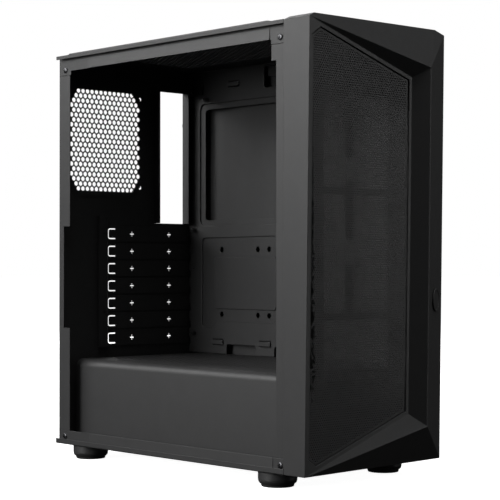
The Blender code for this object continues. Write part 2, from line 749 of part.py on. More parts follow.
def make_io_strip():
    """The plastic strip, its sockets, its buttons and the small circuit board under them."""
    low = (strip_x(-1), strip_front(), Z_TOP + GAP)
    high = (strip_x(1), strip_rear(), Z_STRIP)
    strip = block("io_strip", low, high, PLASTIC)
    cut_away(strip, "io_strip_cuts", io_passages(), io_rounds())
    y = strip_middle()
    board_top = Z_STRIP - USB_DEPTH - GAP
    for number, share in enumerate(USB_SHARES):
        x = strip_x(share)
        port_low = (x - USB_WIDTH / 2, y - USB_HEIGHT / 2, Z_STRIP - USB_DEPTH)
        port_high = (x + USB_WIDTH / 2, y + USB_HEIGHT / 2, Z_STRIP)
        pan(f"usb_port_{number + 1}", port_low, port_high, (0, 0, 1), CONNECTOR, wall=USB_WALL)
    turned("audio_jack", jack_profile(), (strip_x(JACK_SHARE), y, Z_STRIP), (0, 0, 1), PLASTIC)
    for name, share, radius in (
        ("power_button", POWER_SHARE, POWER_RADIUS),
        ("reset_button", RESET_SHARE, RESET_RADIUS),
    ):
        turned(name, button_profile(radius), (strip_x(share), y, Z_STRIP), (0, 0, 1), PLASTIC)
    left, right = (strip_x(share) for share in IO_BOARD_SPAN)
    board_low = (left, strip_front() + IO_BOARD_MARGIN, board_top - IO_BOARD_THICKNESS)
    board_high = (right, strip_rear() - IO_BOARD_MARGIN, board_top)
    block("io_board", board_low, board_high, BOARD)


def jack_profile():
    """The audio jack: a ring with a blind bore."""
    depth = USB_DEPTH
    return [
        (0, -depth + JACK_END_WALL),
        (JACK_BORE, -depth + JACK_END_WALL),
        (JACK_BORE, 0),
        (JACK_RADIUS, 0),
        (JACK_RADIUS, -depth),
        (0, -depth),
    ]


def button_profile(radius):
    stem = radius * BUTTON_STEM_SHARE
    return [
        (0, BUTTON_PROUD),
        (radius - EDGE_BREAK, BUTTON_PROUD),
        (radius, BUTTON_PROUD - EDGE_BREAK),
        (radius, -BUTTON_CAP_DEPTH),
        (stem, -BUTTON_CAP_DEPTH),
        (stem, -USB_DEPTH + BUTTON_ROOM),
        (0, -USB_DEPTH + BUTTON_ROOM),
    ]


def make_shroud():
    """The cover over the power supply bay, with a rounded front edge."""
    x_front = X_FRAME_LEFT + SHROUD_INSET
    bend = (x_front + SHROUD_BEND, Z_SHROUD - SHROUD_BEND)
    profile = [(x_front, Z_FLOOR + GAP)]
    profile += arc(bend, SHROUD_BEND, 180, 90, 6)
    profile += [(X_FRAME_RIGHT - SHEET - GAP, Z_SHROUD)]
    y_low = Y_FRONT + FRONT_POST_WIDTH + GAP
    y_high = Y_INSIDE_REAR - SHROUD_REAR_GAP
    profile.reverse()
    shroud = folded_sheet("psu_shroud", profile, y_low, y_high, STEEL)
    corner_low = (X_FRAME_RIGHT - SHEET * 2, Y_REAR - REAR_POST_WIDTH - REACH, Z_SHROUD - THROUGH)
    corner_high = (X_RIGHT, Y_REAR, Z_SHROUD + THROUGH)
    cut_away(shroud, "shroud_corner_cut", [(corner_low, corner_high)])


def cage_box():
    """The drive cage stands on its side walls, so that its trays clear the lower rail."""
    x_high = X_FRAME_RIGHT - SHEET - CAGE_FROM_PANEL
    x_low = x_high - CAGE_LENGTH
    y_low = Y_FRONT + FRONT_POST_WIDTH + CAGE_FROM_POST
    z_low = Z_FLOOR + GAP
    height = RAIL_HEIGHT + CAGE_BAYS * CAGE_BAY_HEIGHT + SHEET
    return (x_low, y_low, z_low), (x_high, y_low + CAGE_WIDTH, z_low + height)


def make_drive_cage():
    """The open-ended cage for two drives, and the tray in each bay."""
    low, high = cage_box()
    cage = block("drive_cage", low, high, STEEL)
    shelf = low[2] + RAIL_HEIGHT
    under_low = (low[0] - REACH, low[1] + SHEET, low[2] - SHEET)
    under_high = (high[0] + REACH, high[1] - SHEET, shelf)
    bays = []
    for bay in range(CAGE_BAYS):
        floor = shelf + SHEET + bay * CAGE_BAY_HEIGHT
        top = floor + CAGE_BAY_HEIGHT - SHEET
        bay_low = (low[0] - REACH, low[1] + SHEET, floor)
        bay_high = (high[0] + REACH, high[1] - SHEET, top)
        bays.append((bay_low, bay_high))
    cut_away(cage, "cage_bays", [(under_low, under_high), *bays])
    for bay, (bay_low, bay_high) in enumerate(bays):
        floor = bay_low[2] + GAP
        tray_low = (low[0] + DRIVE_TRAY_SHORT, bay_low[1] + GAP, floor)
        tray_high = (high[0], bay_high[1] - GAP, floor + DRIVE_TRAY_HEIGHT)
        name = f"drive_tray_{bay + 1}"
        pan(name, tray_low, tray_high, (0, 0, 1), PLASTIC, wall=DRIVE_TRAY_WALL)


def make_front_frame():
    """The steel wall behind the front panel: one tall opening, crossed by two bars for fans."""
    deep = FRONT_POST_WIDTH + FRONT_POST_FLARE
    low = (X_FRAME_LEFT, Y_FRONT, Z_FLOOR + GAP)
    high = (X_FRAME_RIGHT, Y_FRONT + deep, Z_FRAME_TOP)
    frame = pan("front_frame", low, high, (0, 1, 0), STEEL)
    reach = BODY_WIDTH
    end = Y_FRONT + deep + REACH
    above = ((-reach, Y_INSIDE_FRONT, Z_TAB - GAP), (reach, end, Z_TOP + SHEET))
    below = ((-reach, Y_INSIDE_FRONT, Z_BASE - SHEET), (reach, end, Z_RAIL_BOTTOM + GAP))
    cut_away(frame, "front_corner_cut", [above])
    cut_away(frame, "front_foot_cut", [below])
    narrow = side_strips(Y_FRONT + FRONT_POST_WIDTH, end, Z_BASE, Z_TAB - FRONT_FLARE_DROP)
    cut_away(frame, "front_post_cut", narrow)
    cut_away(frame, "front_air_cuts", front_openings())


def front_openings():
    """The boxes of air between the crossbars, top to bottom."""
    x_low = X_LEFT + FRONT_OPEN_FROM_LEFT
    x_high = x_low + FRONT_OPEN_WIDTH
    bar_tops = [Z_TOP - CROSSBAR_TOP_DROP - n * CROSSBAR_PITCH for n in range(CROSSBAR_COUNT)]
    tops = [Z_TOP - FRONT_OPEN_TOP_DROP, *(top - CROSSBAR_HEIGHT for top in bar_tops)]
    bottoms = [*bar_tops, Z_BASE + FRONT_OPEN_BOTTOM_RISE]
    y_low = Y_FRONT - REACH
    y_high = Y_INSIDE_FRONT + REACH
    return [
        ((x_low, y_low, bottom), (x_high, y_high, top))
        for top, bottom in zip(tops, bottoms)
    ]


def front_plane(z):
    """Y of the flat border of the front panel, which leans slightly forward."""
    share = (z - Z_BASE) / BODY_HEIGHT
    return Y_SEAM - PANEL_DEPTH_BOTTOM - share * PANEL_LEAN


def panel_points():
    """The corners that set the facets of the front panel."""
    z_high = Z_TOP - PANEL_TOP_GAP
    z_low = Z_BASE + PANEL_BOTTOM_GAP
    y_high = front_plane(z_high)
    y_low = front_plane(z_low)
    left_in, left_back, left_rise = CREST_LEFT
    right_in, right_back, right_rise = CREST_RIGHT
    x_ridge = X_RIGHT - RIDGE_FROM_RIGHT
    x_border = X_RIGHT - BORDER_FROM_RIGHT
    ridge_top = z_high - RIDGE_TOP_DROP
    ridge_low = z_low + RIDGE_BOTTOM_RISE
    border_top = z_high - BORDER_TOP_DROP
    border_low = z_low + BORDER_BOTTOM_RISE
    points = {
        "left_top": (X_LEFT, y_high, z_high),
        "left_low": (X_LEFT, y_low, z_low),
        "crest_left": (X_LEFT + left_in, y_high + left_back, z_high + left_rise),
        "crest_right": (X_RIGHT - right_in, y_high + right_back, z_high + right_rise),
        "right_top": (X_RIGHT, y_high + RIGHT_CORNER_BACK, z_high + RIGHT_CORNER_RISE),
        "right_low": (X_RIGHT, y_low + RIGHT_CORNER_BACK, z_low),
        "ridge_top": (x_ridge, front_plane(ridge_top) - RIDGE_RISE, ridge_top),
        "ridge_low": (x_ridge, front_plane(ridge_low) - RIDGE_RISE, ridge_low),
        "border_top": (x_border, front_plane(border_top), border_top),
        "border_low": (x_border, front_plane(border_low), border_low),
    }
    return {name: Vector(place) for name, place in points.items()}


def mesh_outline(inset):
    """The six corners of the mesh window as (x, z), shrunk by inset."""
    p = panel_points()
    rim = BORDER_WIDTH + inset
    x_left = X_LEFT + rim
    x_right = p["border_top"].x - rim
    span = p["border_top"].x - X_LEFT
    slope_top = (p["border_top"].z - p["left_top"].z) / span
    slope_low = (p["border_low"].z - p["left_low"].z) / span
    drop_top = rim * math.hypot(1, slope_top)
    drop_low = rim * math.hypot(1, slope_low)

    def top(x):
        return p["left_top"].z + slope_top * (x - X_LEFT) - drop_top

    def low(x):
        return p["left_low"].z + slope_low * (x - X_LEFT) + drop_low

    return [
        (x_left, top(x_left) - MESH_CHAMFER),
        (x_left + MESH_CHAMFER, top(x_left + MESH_CHAMFER)),
        (x_right, top(x_right)),
        (x_right, low(x_right)),
        (x_left + MESH_CHAMFER, low(x_left + MESH_CHAMFER)),
        (x_left, low(x_left) + MESH_CHAMFER),
    ]


def make_front_panel():
    """The faceted plastic front as a shell that is open at the back and at the mesh window."""
    bm = bmesh.new()
    p = {name: bm.verts.new(place) for name, place in panel_points().items()}
    rear = {}
    for name in ("left_top", "left_low", "crest_left", "crest_right", "right_top", "right_low"):
        rear[name] = bm.verts.new((p[name].co.x, Y_SEAM, p[name].co.z))
    window = [bm.verts.new((x, front_plane(z), z)) for x, z in mesh_outline(0.0)]
    sides = ("left_low", "left_top", "crest_left", "crest_right", "right_top", "right_low")
    for here, after in zip(sides, (*sides[1:], sides[0])):
        bm.faces.new((p[here], p[after], rear[after], rear[here]))
    bm.faces.new((p["left_top"], p["ridge_top"], p["crest_left"]))
    bm.faces.new((p["crest_left"], p["ridge_top"], p["crest_right"]))
    bm.faces.new((p["crest_right"], p["ridge_top"], p["right_top"]))
    bm.faces.new((p["ridge_top"], p["ridge_low"], p["right_low"], p["right_top"]))
    bm.faces.new((p["left_low"], p["right_low"], p["ridge_low"]))
    bm.faces.new((p["left_top"], p["border_top"], p["ridge_top"]))
    bm.faces.new((p["border_top"], p["border_low"], p["ridge_low"], p["ridge_top"]))
    bm.faces.new((p["left_low"], p["ridge_low"], p["border_low"]))
    bm.faces.new((p["left_top"], window[0], window[1]))
    bm.faces.new((p["left_top"], window[1], window[2], p["border_top"]))
    bm.faces.new((p["border_top"], window[2], window[3], p["border_low"]))
    bm.faces.new((p["border_low"], window[3], window[4], p["left_low"]))
    bm.faces.new((p["left_low"], window[4], window[5]))
    bm.faces.new((p["left_low"], window[5], window[0], p["left_top"]))
    bmesh.ops.recalc_face_normals(bm, faces=bm.faces)
    panel = add_part("front_panel", mesh_from(bm, "front_panel"), PLASTIC)
    thicken(panel, PANEL_WALL)


def mesh_plane(z):
    return front_plane(z) + MESH_RECESS


def make_front_mesh():
    outline_plate("front_mesh", mesh_outline(GAP), mesh_plane, MESH_THICKNESS, MESH)


def make_badge():
    """A plain round plate, with no mark, low on the right facet."""
    p = panel_points()
    across = (p["right_top"] - p["ridge_top"]).normalized()
    down = (p["ridge_low"] - p["ridge_top"]).normalized()
    outward = across.cross(down)
    if outward.y > 0:
        outward = -outward
    centre = p["ridge_top"] + down * BADGE_BELOW_RIDGE_TOP + across * BADGE_FROM_RIDGE
    normal = outward.normalized()
    place = centre + normal * 2 * GAP
    profile = [
        (0, BADGE_THICKNESS),
        (BADGE_RADIUS - EDGE_BREAK, BADGE_THICKNESS),
        (BADGE_RADIUS, BADGE_THICKNESS - EDGE_BREAK),
        (BADGE_RADIUS, 0),
        (0, 0),
    ]
    turned("badge", profile, place, normal, PLASTIC, steps=32)


def make_right_panel():
    """The steel side panel, with two ears behind the rear wall for its thumbscrews."""
    low = (X_FRAME_RIGHT + GAP, Y_FRONT, Z_BASE + SHEET + GAP)
    high = (X_RIGHT, Y_REAR, Z_TOP - COVER_EDGE - GAP)
    panel = pan("right_side_panel", low, high, (-1, 0, 0), STEEL)
    ears = []
    for z in thumb_heights():
        z_low = z - EAR_HALF_HEIGHT
        ear_low = (thumb_x() - EAR_PAST_SCREW, Y_REAR + GAP, z_low)
        web_low = (X_RIGHT - SHEET, Y_REAR - EAR_WEB, z_low)
        ear_high = (X_RIGHT, Y_REAR + GAP + SHEET, z + EAR_HALF_HEIGHT)
        ears += [(ear_low, ear_high), (web_low, ear_high)]
    join_boxes(panel, "panel_ear", ears)
    hole = THUMB_SHANK + GAP
    rounds = [((thumb_x(), Y_REAR, z), hole, THROUGH, (0, 1, 0)) for z in thumb_heights()]
    cut_away(panel, "ear_holes", (), rounds)


def make_thumbscrews():
    """The round-headed screws that hold the side panel."""
    ear = GAP + SHEET + GAP
    head = REAR_REACH - ear
    profile = [
        (0, head),
        (THUMB_RADIUS - EDGE_BREAK, head),
        (THUMB_RADIUS, head - EDGE_BREAK),
        (THUMB_RADIUS, 0),
        (THUMB_SHANK, 0),
        (THUMB_SHANK, -THUMB_SHANK_LENGTH),
        (0, -THUMB_SHANK_LENGTH),
    ]
    for name, z in zip(("thumbscrew_lower", "thumbscrew_upper"), thumb_heights()):
        turned(name, profile, (thumb_x(), Y_REAR + ear, z), (0, 1, 0), SCREW)


def foot_places():
    x_left = X_LEFT + FOOT_INSET_LEFT
    x_right = X_RIGHT - FOOT_INSET_RIGHT
    y_rear = Y_REAR - FOOT_INSET_REAR
    y_front = Y_FRONT + FOOT_INSET_FRONT
    return {
        "front_left": (x_left, y_front),
        "front_right": (x_right, y_front),
        "rear_left": (x_left, y_rear),
        "rear_right": (x_right, y_rear),
    }


def make_feet():
    """Four round feet, each with a rubber pad underneath."""
    top = FOOT_HEIGHT - GAP
    bottom = FOOT_PAD_THICKNESS + GAP
    profile = [
        (0, top),
        (FOOT_RADIUS, top),
        (FOOT_RADIUS, FOOT_TAPER_HEIGHT),
        (FOOT_RADIUS - FOOT_TAPER, bottom),
        (0, bottom),
    ]
    pad_radius = FOOT_RADIUS - FOOT_PAD_INSET
    pad_profile = [
        (0, FOOT_PAD_THICKNESS),
        (pad_radius, FOOT_PAD_THICKNESS),
        (pad_radius - EDGE_BREAK, 0),
        (0, 0),
    ]
    for name, (x, y) in foot_places().items():
        turned(f"foot_{name}", profile, (x, y, 0), (0, 0, 1), PLASTIC)
        turned(f"foot_pad_{name}", pad_profile, (x, y, 0), (0, 0, 1), RUBBER)


def make_psu_filter():
    """The slide-out dust filter under the base, in its two guide rails."""
    x_left, x_right = (foot_places()[name][0] for name in ("rear_left", "rear_right"))
    middle = (x_left + x_right) / 2
    half = (x_right - x_left) / 2 - FOOT_RADIUS - RAIL_TO_FOOT - RAIL_OUTSIDE
    top = Z_BASE - GAP - RAIL_GAP
    y_high = Y_REAR
    y_low = y_high - PSU_FILTER_LENGTH
    low = (middle - half, y_low, top - PSU_FILTER_THICKNESS)
    block("psu_filter", low, (middle + half, y_high, top), FILTER)
    for side, name in ((-1, "filter_rail_left"), (1, "filter_rail_right")):
        outer = middle + side * (half + RAIL_WEB)
        flange = middle + side * (half + RAIL_OUTSIDE)
        inner = middle + side * (half - RAIL_LEDGE)
        bottom = low[2] - RAIL_GAP
        roof = Z_BASE - GAP
        profile = [(flange, roof), (outer, roof), (outer, bottom), (inner, bottom)]
        if side < 0:
            profile.reverse()
        folded_sheet(name, profile, y_low, y_high - RAIL_SHORT, STEEL)


def make_corner_screws():
    """The screws in the four corner tabs of the open side."""
    head = SCREW_HEAD_HEIGHT
    drive = SCREW_DRIVE_RADIUS
    profile = [
        (0, head - SCREW_DRIVE_DEPTH),
        (drive, head - SCREW_DRIVE_DEPTH),
        (drive, head),
        (SCREW_HEAD_RADIUS - EDGE_BREAK, head),
        (SCREW_HEAD_RADIUS, head - EDGE_BREAK),
        (SCREW_HEAD_RADIUS, 0),
        (0, 0),
    ]
    rear_y = Y_INSIDE_REAR - SCREW_FROM_REAR
    front_y = Y_FRONT + SCREW_FROM_FRONT
    top_z = Z_TAB + SCREW_ABOVE_TAB
    low_z = Z_RAIL_BOTTOM - SCREW_BELOW_RAIL
    spots = {
        "rear_top": (rear_y, top_z),
        "rear_low": (rear_y, low_z),
        "front_top": (front_y, top_z),
        "front_low": (front_y, low_z),
    }
    for name, (y, z) in spots.items():
        base = (X_FRAME_LEFT - GAP, y, z)
        turned(f"corner_screw_{name}", profile, base, (-1, 0, 0), SCREW, steps=16)


def smooth_round_pieces():
    for obj in PARTS.objects:
        if "turn" in obj.modifiers:
            obj.data.shade_smooth()


clear_scene()
PARTS = new_collection("tower_case", hidden=False)
CUTTERS = new_collection("tower_case_cutters", hidden=True)
STEEL = material("painted_steel", (0.055, 0.055, 0.057), 0.55, 0.0)
PLASTIC = material("satin_plastic", (0.045, 0.045, 0.046), 0.5, 0.0)
MESH = material("painted_mesh", (0.03, 0.03, 0.03), 0.6, 0.0)
FILTER = material("filter_plastic", (0.02, 0.02, 0.02), 0.7, 0.0)
ZINC = material("zinc", (0.16, 0.16, 0.16), 0.35, 1.0)
SCREW = material("black_screw", (0.05, 0.05, 0.05), 0.35, 1.0)
RUBBER = material("rubber", (0.012, 0.012, 0.012), 0.85, 0.0)
CONNECTOR = material("connector_steel", (0.55, 0.55, 0.56), 0.3, 1.0)
BOARD = material("circuit_board", (0.01, 0.05, 0.025), 0.5, 0.0)

make_base()
make_rear_panel()
make_vent_grille()
make_slot_covers()
make_slot_ledge()
make_tray()
make_standoffs()
make_top_frame()
make_roof_grille()
make_top_cover()
make_top_filter()
make_io_strip()
make_shroud()
make_drive_cage()
make_front_frame()
make_front_panel()
make_front_mesh()
make_badge()
make_right_panel()
make_thumbscrews()
make_feet()
make_psu_filter()
make_corner_screws()
smooth_round_pieces()
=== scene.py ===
"""The finished look of an open mid-tower computer case, built round its CAD frame.

Each piece of the case has its own operator. They all measure the frame, so that the pieces
sit where the frame says. Run the file as a script: it makes every piece, the stage and the camera.
"""

import json
import math

import bmesh
import bpy
from mathutils import Matrix, Vector


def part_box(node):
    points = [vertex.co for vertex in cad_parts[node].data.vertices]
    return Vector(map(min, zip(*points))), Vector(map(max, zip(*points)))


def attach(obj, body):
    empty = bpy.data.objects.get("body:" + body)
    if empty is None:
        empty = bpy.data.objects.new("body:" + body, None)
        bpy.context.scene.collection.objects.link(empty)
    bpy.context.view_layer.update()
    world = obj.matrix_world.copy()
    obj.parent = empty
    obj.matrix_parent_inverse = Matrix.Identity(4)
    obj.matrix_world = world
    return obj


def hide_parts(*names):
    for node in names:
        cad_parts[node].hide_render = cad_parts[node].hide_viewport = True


bl_info = {
    "name": "Open Tower Case",
    "version": (1, 0, 0),
    "blender": (4, 5, 0),
    "location": "View3D > Sidebar > Tower",
    "description": "Makes the finished pieces of a mid-tower computer case",
    "category": "Add Mesh",
}

MM = 0.001
SHEET = 1.0 * MM
RIDGE_ZONE = 9 * MM
MESH_GROOVE = 0.5 * MM
MESH_THICKNESS = 0.8 * MM
MESH_RIM = 2.1 * MM
VENT_THICKNESS = 0.8 * MM
VENT_RIM = 2.6 * MM
VENT_OVERLAP = 1.2 * MM
SLOT_COUNT = 7
SLOT_PITCH = 20.32 * MM
LOW_EDGE_SLIT = (291.1 * MM, 270.3 * MM)
HIGH_EDGE_SLIT = (411.0 * MM, 390.2 * MM)
EDGE_SLIT_DEPTH = 2.2 * MM
EDGE_SLIT_TAPER = 0.6 * MM

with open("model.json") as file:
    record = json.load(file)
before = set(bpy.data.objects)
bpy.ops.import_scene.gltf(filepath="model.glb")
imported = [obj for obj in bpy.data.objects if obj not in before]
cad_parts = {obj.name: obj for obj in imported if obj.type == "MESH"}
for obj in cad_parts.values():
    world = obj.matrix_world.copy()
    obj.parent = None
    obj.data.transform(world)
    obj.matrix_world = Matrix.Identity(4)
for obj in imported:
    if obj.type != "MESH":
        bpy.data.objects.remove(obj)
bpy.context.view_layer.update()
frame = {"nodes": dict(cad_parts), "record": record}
NODES = frame["nodes"]
NODE_BODY = {
    node: body
    for body, members in frame["record"]["behaviour"]["bodies"].items()
    for node in members
}


# ---------------------------------------------------------------- settings


class TowerSheetSettings(bpy.types.PropertyGroup):
    """Sizes and colour of the painted sheet steel"""

    edge: bpy.props.FloatProperty(
        name="Edge Radius", description="Rounding of cut sheet edges", default=0.25 * MM, unit="LENGTH",
    )
    colour: bpy.props.FloatVectorProperty(
        name="Paint",
        description="Colour of the powder coat",
        default=(0.026, 0.026, 0.0265),
        subtype="COLOR",
    )
    roughness: bpy.props.FloatProperty(
        name="Roughness", description="Roughness of the powder coat", default=0.5, subtype="FACTOR",
    )
    emboss: bpy.props.FloatProperty(
        name="Emboss Depth",
        description="Depth of the stampings in the board tray",
        default=1.7 * MM,
        unit="LENGTH",
    )


class TowerPanelSettings(bpy.types.PropertyGroup):
    """Sizes and colour of the moulded front"""

    edge: bpy.props.FloatProperty(
        name="Edge Radius", description="Rounding of the moulded edges", default=0.5 * MM, unit="LENGTH",
    )
    ridge: bpy.props.FloatProperty(
        name="Ridge Radius", description="Rounding of the foremost ridge", default=1.5 * MM, unit="LENGTH",
    )
    colour: bpy.props.FloatVectorProperty(
        name="Plastic",
        description="Colour of the moulded plastic",
        default=(0.028, 0.028, 0.0285),
        subtype="COLOR",
    )


class TowerVentSettings(bpy.types.PropertyGroup):
    """Hole patterns of the perforated sheets"""

    front_pitch: bpy.props.FloatProperty(
        name="Front Pitch",
        description="Spacing of the holes in the front mesh",
        default=2.6 * MM,
        unit="LENGTH",
    )
    front_radius: bpy.props.FloatProperty(
        name="Front Hole",
        description="Radius of a hole in the front mesh",
        default=0.84 * MM,
        unit="LENGTH",
    )
    vent_pitch: bpy.props.FloatProperty(
        name="Vent Pitch",
        description="Spacing of the holes in the steel vents",
        default=6.5 * MM,
        unit="LENGTH",
    )
    vent_radius: bpy.props.FloatProperty(
        name="Vent Hole",
        description="Radius of a hole in the steel vents",
        default=2.65 * MM,
        unit="LENGTH",
    )
    filter_pitch: bpy.props.FloatProperty(
        name="Filter Pitch",
        description="Spacing of the threads in the dust filters",
        default=3.2 * MM,
        unit="LENGTH",
    )


class TowerStageSettings(bpy.types.PropertyGroup):
    """Camera and lights"""

    lens: bpy.props.FloatProperty(
        name="Lens", description="Focal length in millimetres", default=110.0,
    )
    heading: bpy.props.FloatProperty(
        name="Heading",
        description="Turn of the view from straight ahead",
        default=math.radians(43.23),
        subtype="ANGLE",
    )
    tilt: bpy.props.FloatProperty(
        name="Tilt", description="Upward tilt of the view", default=math.radians(0.56), subtype="ANGLE",
    )
    eye: bpy.props.FloatVectorProperty(
        name="Eye",
        description="Place of the camera",
        default=(-1.132, -1.2112, 0.2166),
        subtype="TRANSLATION",
    )
    brightness: bpy.props.FloatProperty(
        name="Brightness", description="Scale of every lamp", default=1.0, subtype="FACTOR", max=10.0,
    )


SETTINGS = {
    "tower_sheet": TowerSheetSettings,
    "tower_panel": TowerPanelSettings,
    "tower_vent": TowerVentSettings,
    "tower_stage": TowerStageSettings,
}


# ---------------------------------------------------------------- node trees


def add_node(tree, kind, values=None, **settings):
    """Adds a node; each of values is put on an input, or linked to it if it is a socket."""
    node = tree.nodes.new(kind)
    for key, value in settings.items():
        setattr(node, key, value)
    for key, value in (values or {}).items():
        if isinstance(value, bpy.types.NodeSocket):
            tree.links.new(value, node.inputs[key])
        else:
            node.inputs[key].default_value = value
    return node


def spread(tree, source, low, high):
    """Maps a factor from 0..1 to low..high."""
    node = add_node(tree, "ShaderNodeMapRange", {"Value": source, "To Min": low, "To Max": high})
    return node.outputs["Result"]


def blend_colours(tree, factor, first, second):
    node = add_node(tree, "ShaderNodeMix", {"Factor": factor}, data_type="RGBA")
    for socket, value in ((node.inputs[6], first), (node.inputs[7], second)):
        if isinstance(value, bpy.types.NodeSocket):
            tree.links.new(value, socket)
        else:
            socket.default_value = (*value, 1.0)
    return node.outputs[2]


def scaled(colour, share):
    return tuple(channel * share for channel in colour)


def noise(tree, place, scale, detail=3.0, rough=0.55):
    node = add_node(
        tree,
        "ShaderNodeTexNoise",
        {"Vector": place, "Scale": scale, "Detail": detail, "Roughness": rough},
    )
    return node.outputs["Fac"]


def new_finish(name):
    """An empty material with its tree, its shader and its object coordinates."""
    material = bpy.data.materials.new(name)
    material.use_nodes = True
    tree = material.node_tree
    shader = tree.nodes["Principled BSDF"]
    place = tree.nodes.new("ShaderNodeTexCoord").outputs["Object"]
    return material, tree, shader, place


def put_bump(tree, shader, height, strength, distance):
    bump = add_node(
        tree, "ShaderNodeBump", {"Height": height, "Strength": strength, "Distance": distance},
    )
    tree.links.new(bump.outputs["Normal"], shader.inputs["Normal"])


def dust(tree, place, colour, amount):
    """Faint pale dust that gathers in soft patches on a dark colour."""
    patches = noise(tree, place, 24.0, 5.0)
    factor = spread(tree, patches, 0.0, amount)
    return blend_colours(tree, factor, colour, (0.22, 0.22, 0.215))


def coated_finish(name, colour, roughness, grain, bump, metallic=0.0, specular=0.5, patch=0.03):
    """A dark coated or moulded surface: fine grain, mottled gloss and a trace of dust."""
    material, tree, shader, place = new_finish(name)
    tone = noise(tree, place, 70.0, 4.0)
    body = blend_colours(tree, tone, scaled(colour, 0.85), scaled(colour, 1.15))
    tree.links.new(dust(tree, place, body, patch), shader.inputs["Base Color"])
    fine = noise(tree, place, grain, 2.0)
    mottle = add_node(
        tree,
        "ShaderNodeMath",
        {0: noise(tree, place, 130.0, 3.0), 1: fine},
        operation="MULTIPLY",
    )
    tree.links.new(
        spread(tree, mottle.outputs[0], roughness * 0.88, roughness * 1.3), shader.inputs["Roughness"],
    )
    shader.inputs["Metallic"].default_value = metallic
    shader.inputs["Specular IOR Level"].default_value = specular
    put_bump(tree, shader, fine, bump, 0.12 * MM)
    return material


def turned_metal_finish(name, colour, roughness, scratch):
    """Plated or blackened metal with fine turning marks round Z."""
    material, tree, shader, place = new_finish(name)
    stretch = add_node(tree, "ShaderNodeMapping", {"Vector": place, "Scale": (1.0, 1.0, 14.0)})
    lines = noise(tree, stretch.outputs["Vector"], 420.0, 4.0)
    body = blend_colours(tree, lines, scaled(colour, 0.8), scaled(colour, 1.2))
    tree.links.new(body, shader.inputs["Base Color"])
    tree.links.new(spread(tree, lines, roughness * 0.8, roughness * 1.25), shader.inputs["Roughness"])
    shader.inputs["Metallic"].default_value = 1.0
    put_bump(tree, shader, lines, scratch, 0.06 * MM)
    return material


def rubber_finish(name, colour):
    """Matt rubber with a pitted skin."""
    material, tree, shader, place = new_finish(name)
    pits = add_node(tree, "ShaderNodeTexVoronoi", {"Vector": place, "Scale": 900.0})
    worn = noise(tree, place, 160.0, 4.0)
    body = blend_colours(tree, worn, scaled(colour, 0.7), scaled(colour, 1.6))
    tree.links.new(body, shader.inputs["Base Color"])
    tree.links.new(spread(tree, worn, 0.72, 0.95), shader.inputs["Roughness"])
    put_bump(tree, shader, pits.outputs["Distance"], 0.35, 0.15 * MM)
    return material


def board_finish(name):
    """Solder mask over copper tracks, with the glass weave just showing."""
    material, tree, shader, place = new_finish(name)
    tracks = add_node(
        tree,
        "ShaderNodeTexBrick",
        {"Vector": place, "Scale": 120.0, "Mortar Size": 0.03, "Color1": (0.006, 0.03, 0.016, 1.0)},
    )
    weave = add_node(tree, "ShaderNodeTexWave", {"Vector": place, "Scale": 900.0, "Distortion": 1.5})
    body = blend_colours(
        tree, tracks.outputs["Fac"], (0.006, 0.028, 0.016), (0.02, 0.09, 0.045),
    )
    tree.links.new(body, shader.inputs["Base Color"])
    tree.links.new(spread(tree, weave.outputs["Fac"], 0.3, 0.42), shader.inputs["Roughness"])
    put_bump(tree, shader, tracks.outputs["Fac"], 0.3, 0.1 * MM)
    return material


def filter_finish(name, colour):
    """Woven nylon: threads crossing at right angles, with dust caught in them."""
    material, tree, shader, place = new_finish(name)
    waves = [
        add_node(
            tree,
            "ShaderNodeTexWave",
            {"Vector": place, "Scale": 500.0, "Distortion": 0.4},
            bands_direction=direction,
        ).outputs["Fac"]
        for direction in ("X", "Y")
    ]
    weave = add_node(tree, "ShaderNodeMath", {0: waves[0], 1: waves[1]}, operation="MAXIMUM")
    body = blend_colours(tree, weave.outputs[0], scaled(colour, 0.5), scaled(colour, 1.5))
    tree.links.new(dust(tree, place, body, 0.08), shader.inputs["Base Color"])
    tree.links.new(spread(tree, weave.outputs[0], 0.8, 0.6), shader.inputs["Roughness"])
    put_bump(tree, shader, weave.outputs[0], 0.4, 0.2 * MM)
    return material


FINISHES = {}


def make_finishes(scene):
    paint = tuple(scene.tower_sheet.colour)
    plastic = tuple(scene.tower_panel.colour)
    rough = scene.tower_sheet.roughness
    FINISHES.update(
        steel=coated_finish("powder_coated_steel", paint, rough, 1900.0, 0.35),
        plastic=coated_finish("grained_plastic", plastic, 0.48, 1300.0, 0.22),
        mesh=coated_finish("painted_mesh", paint, 0.5, 2400.0, 0.2),
        filter=filter_finish("woven_filter", (0.02, 0.02, 0.02)),
        standoff=turned_metal_finish("blackened_standoff", (0.16, 0.16, 0.16), 0.36, 0.3),
        screw=turned_metal_finish("black_oxide_screw", (0.10, 0.10, 0.105), 0.34, 0.4),
        rubber=rubber_finish("foot_rubber", (0.012, 0.012, 0.012)),
        connector=turned_metal_finish("nickel_plate", (0.52, 0.52, 0.53), 0.28, 0.2),
        contact=turned_metal_finish("gold_contact", (0.72, 0.50, 0.18), 0.25, 0.1),
        board=board_finish("solder_mask"),
        insulator=coated_finish("socket_insulator", (0.012, 0.012, 0.013), 0.4, 1500.0, 0.15),
    )


# ---------------------------------------------------------------- mesh helpers


def place_object(name, mesh):
    obj = bpy.data.objects.new(name, mesh)
    bpy.context.scene.collection.objects.link(obj)
    return obj


def finish_piece(name, mesh, finish, nodes, smooth=False):
    """Makes the piece of a mesh that is already in place, and puts it in the frame."""
    if finish and not mesh.materials:
        mesh.materials.append(FINISHES[finish])
    if smooth:
        mesh.shade_smooth()
        mesh.set_sharp_from_angle(angle=math.radians(35))
    obj = place_object(name, mesh)
    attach(obj, NODE_BODY[nodes[0]])
    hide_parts(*nodes)
    return obj


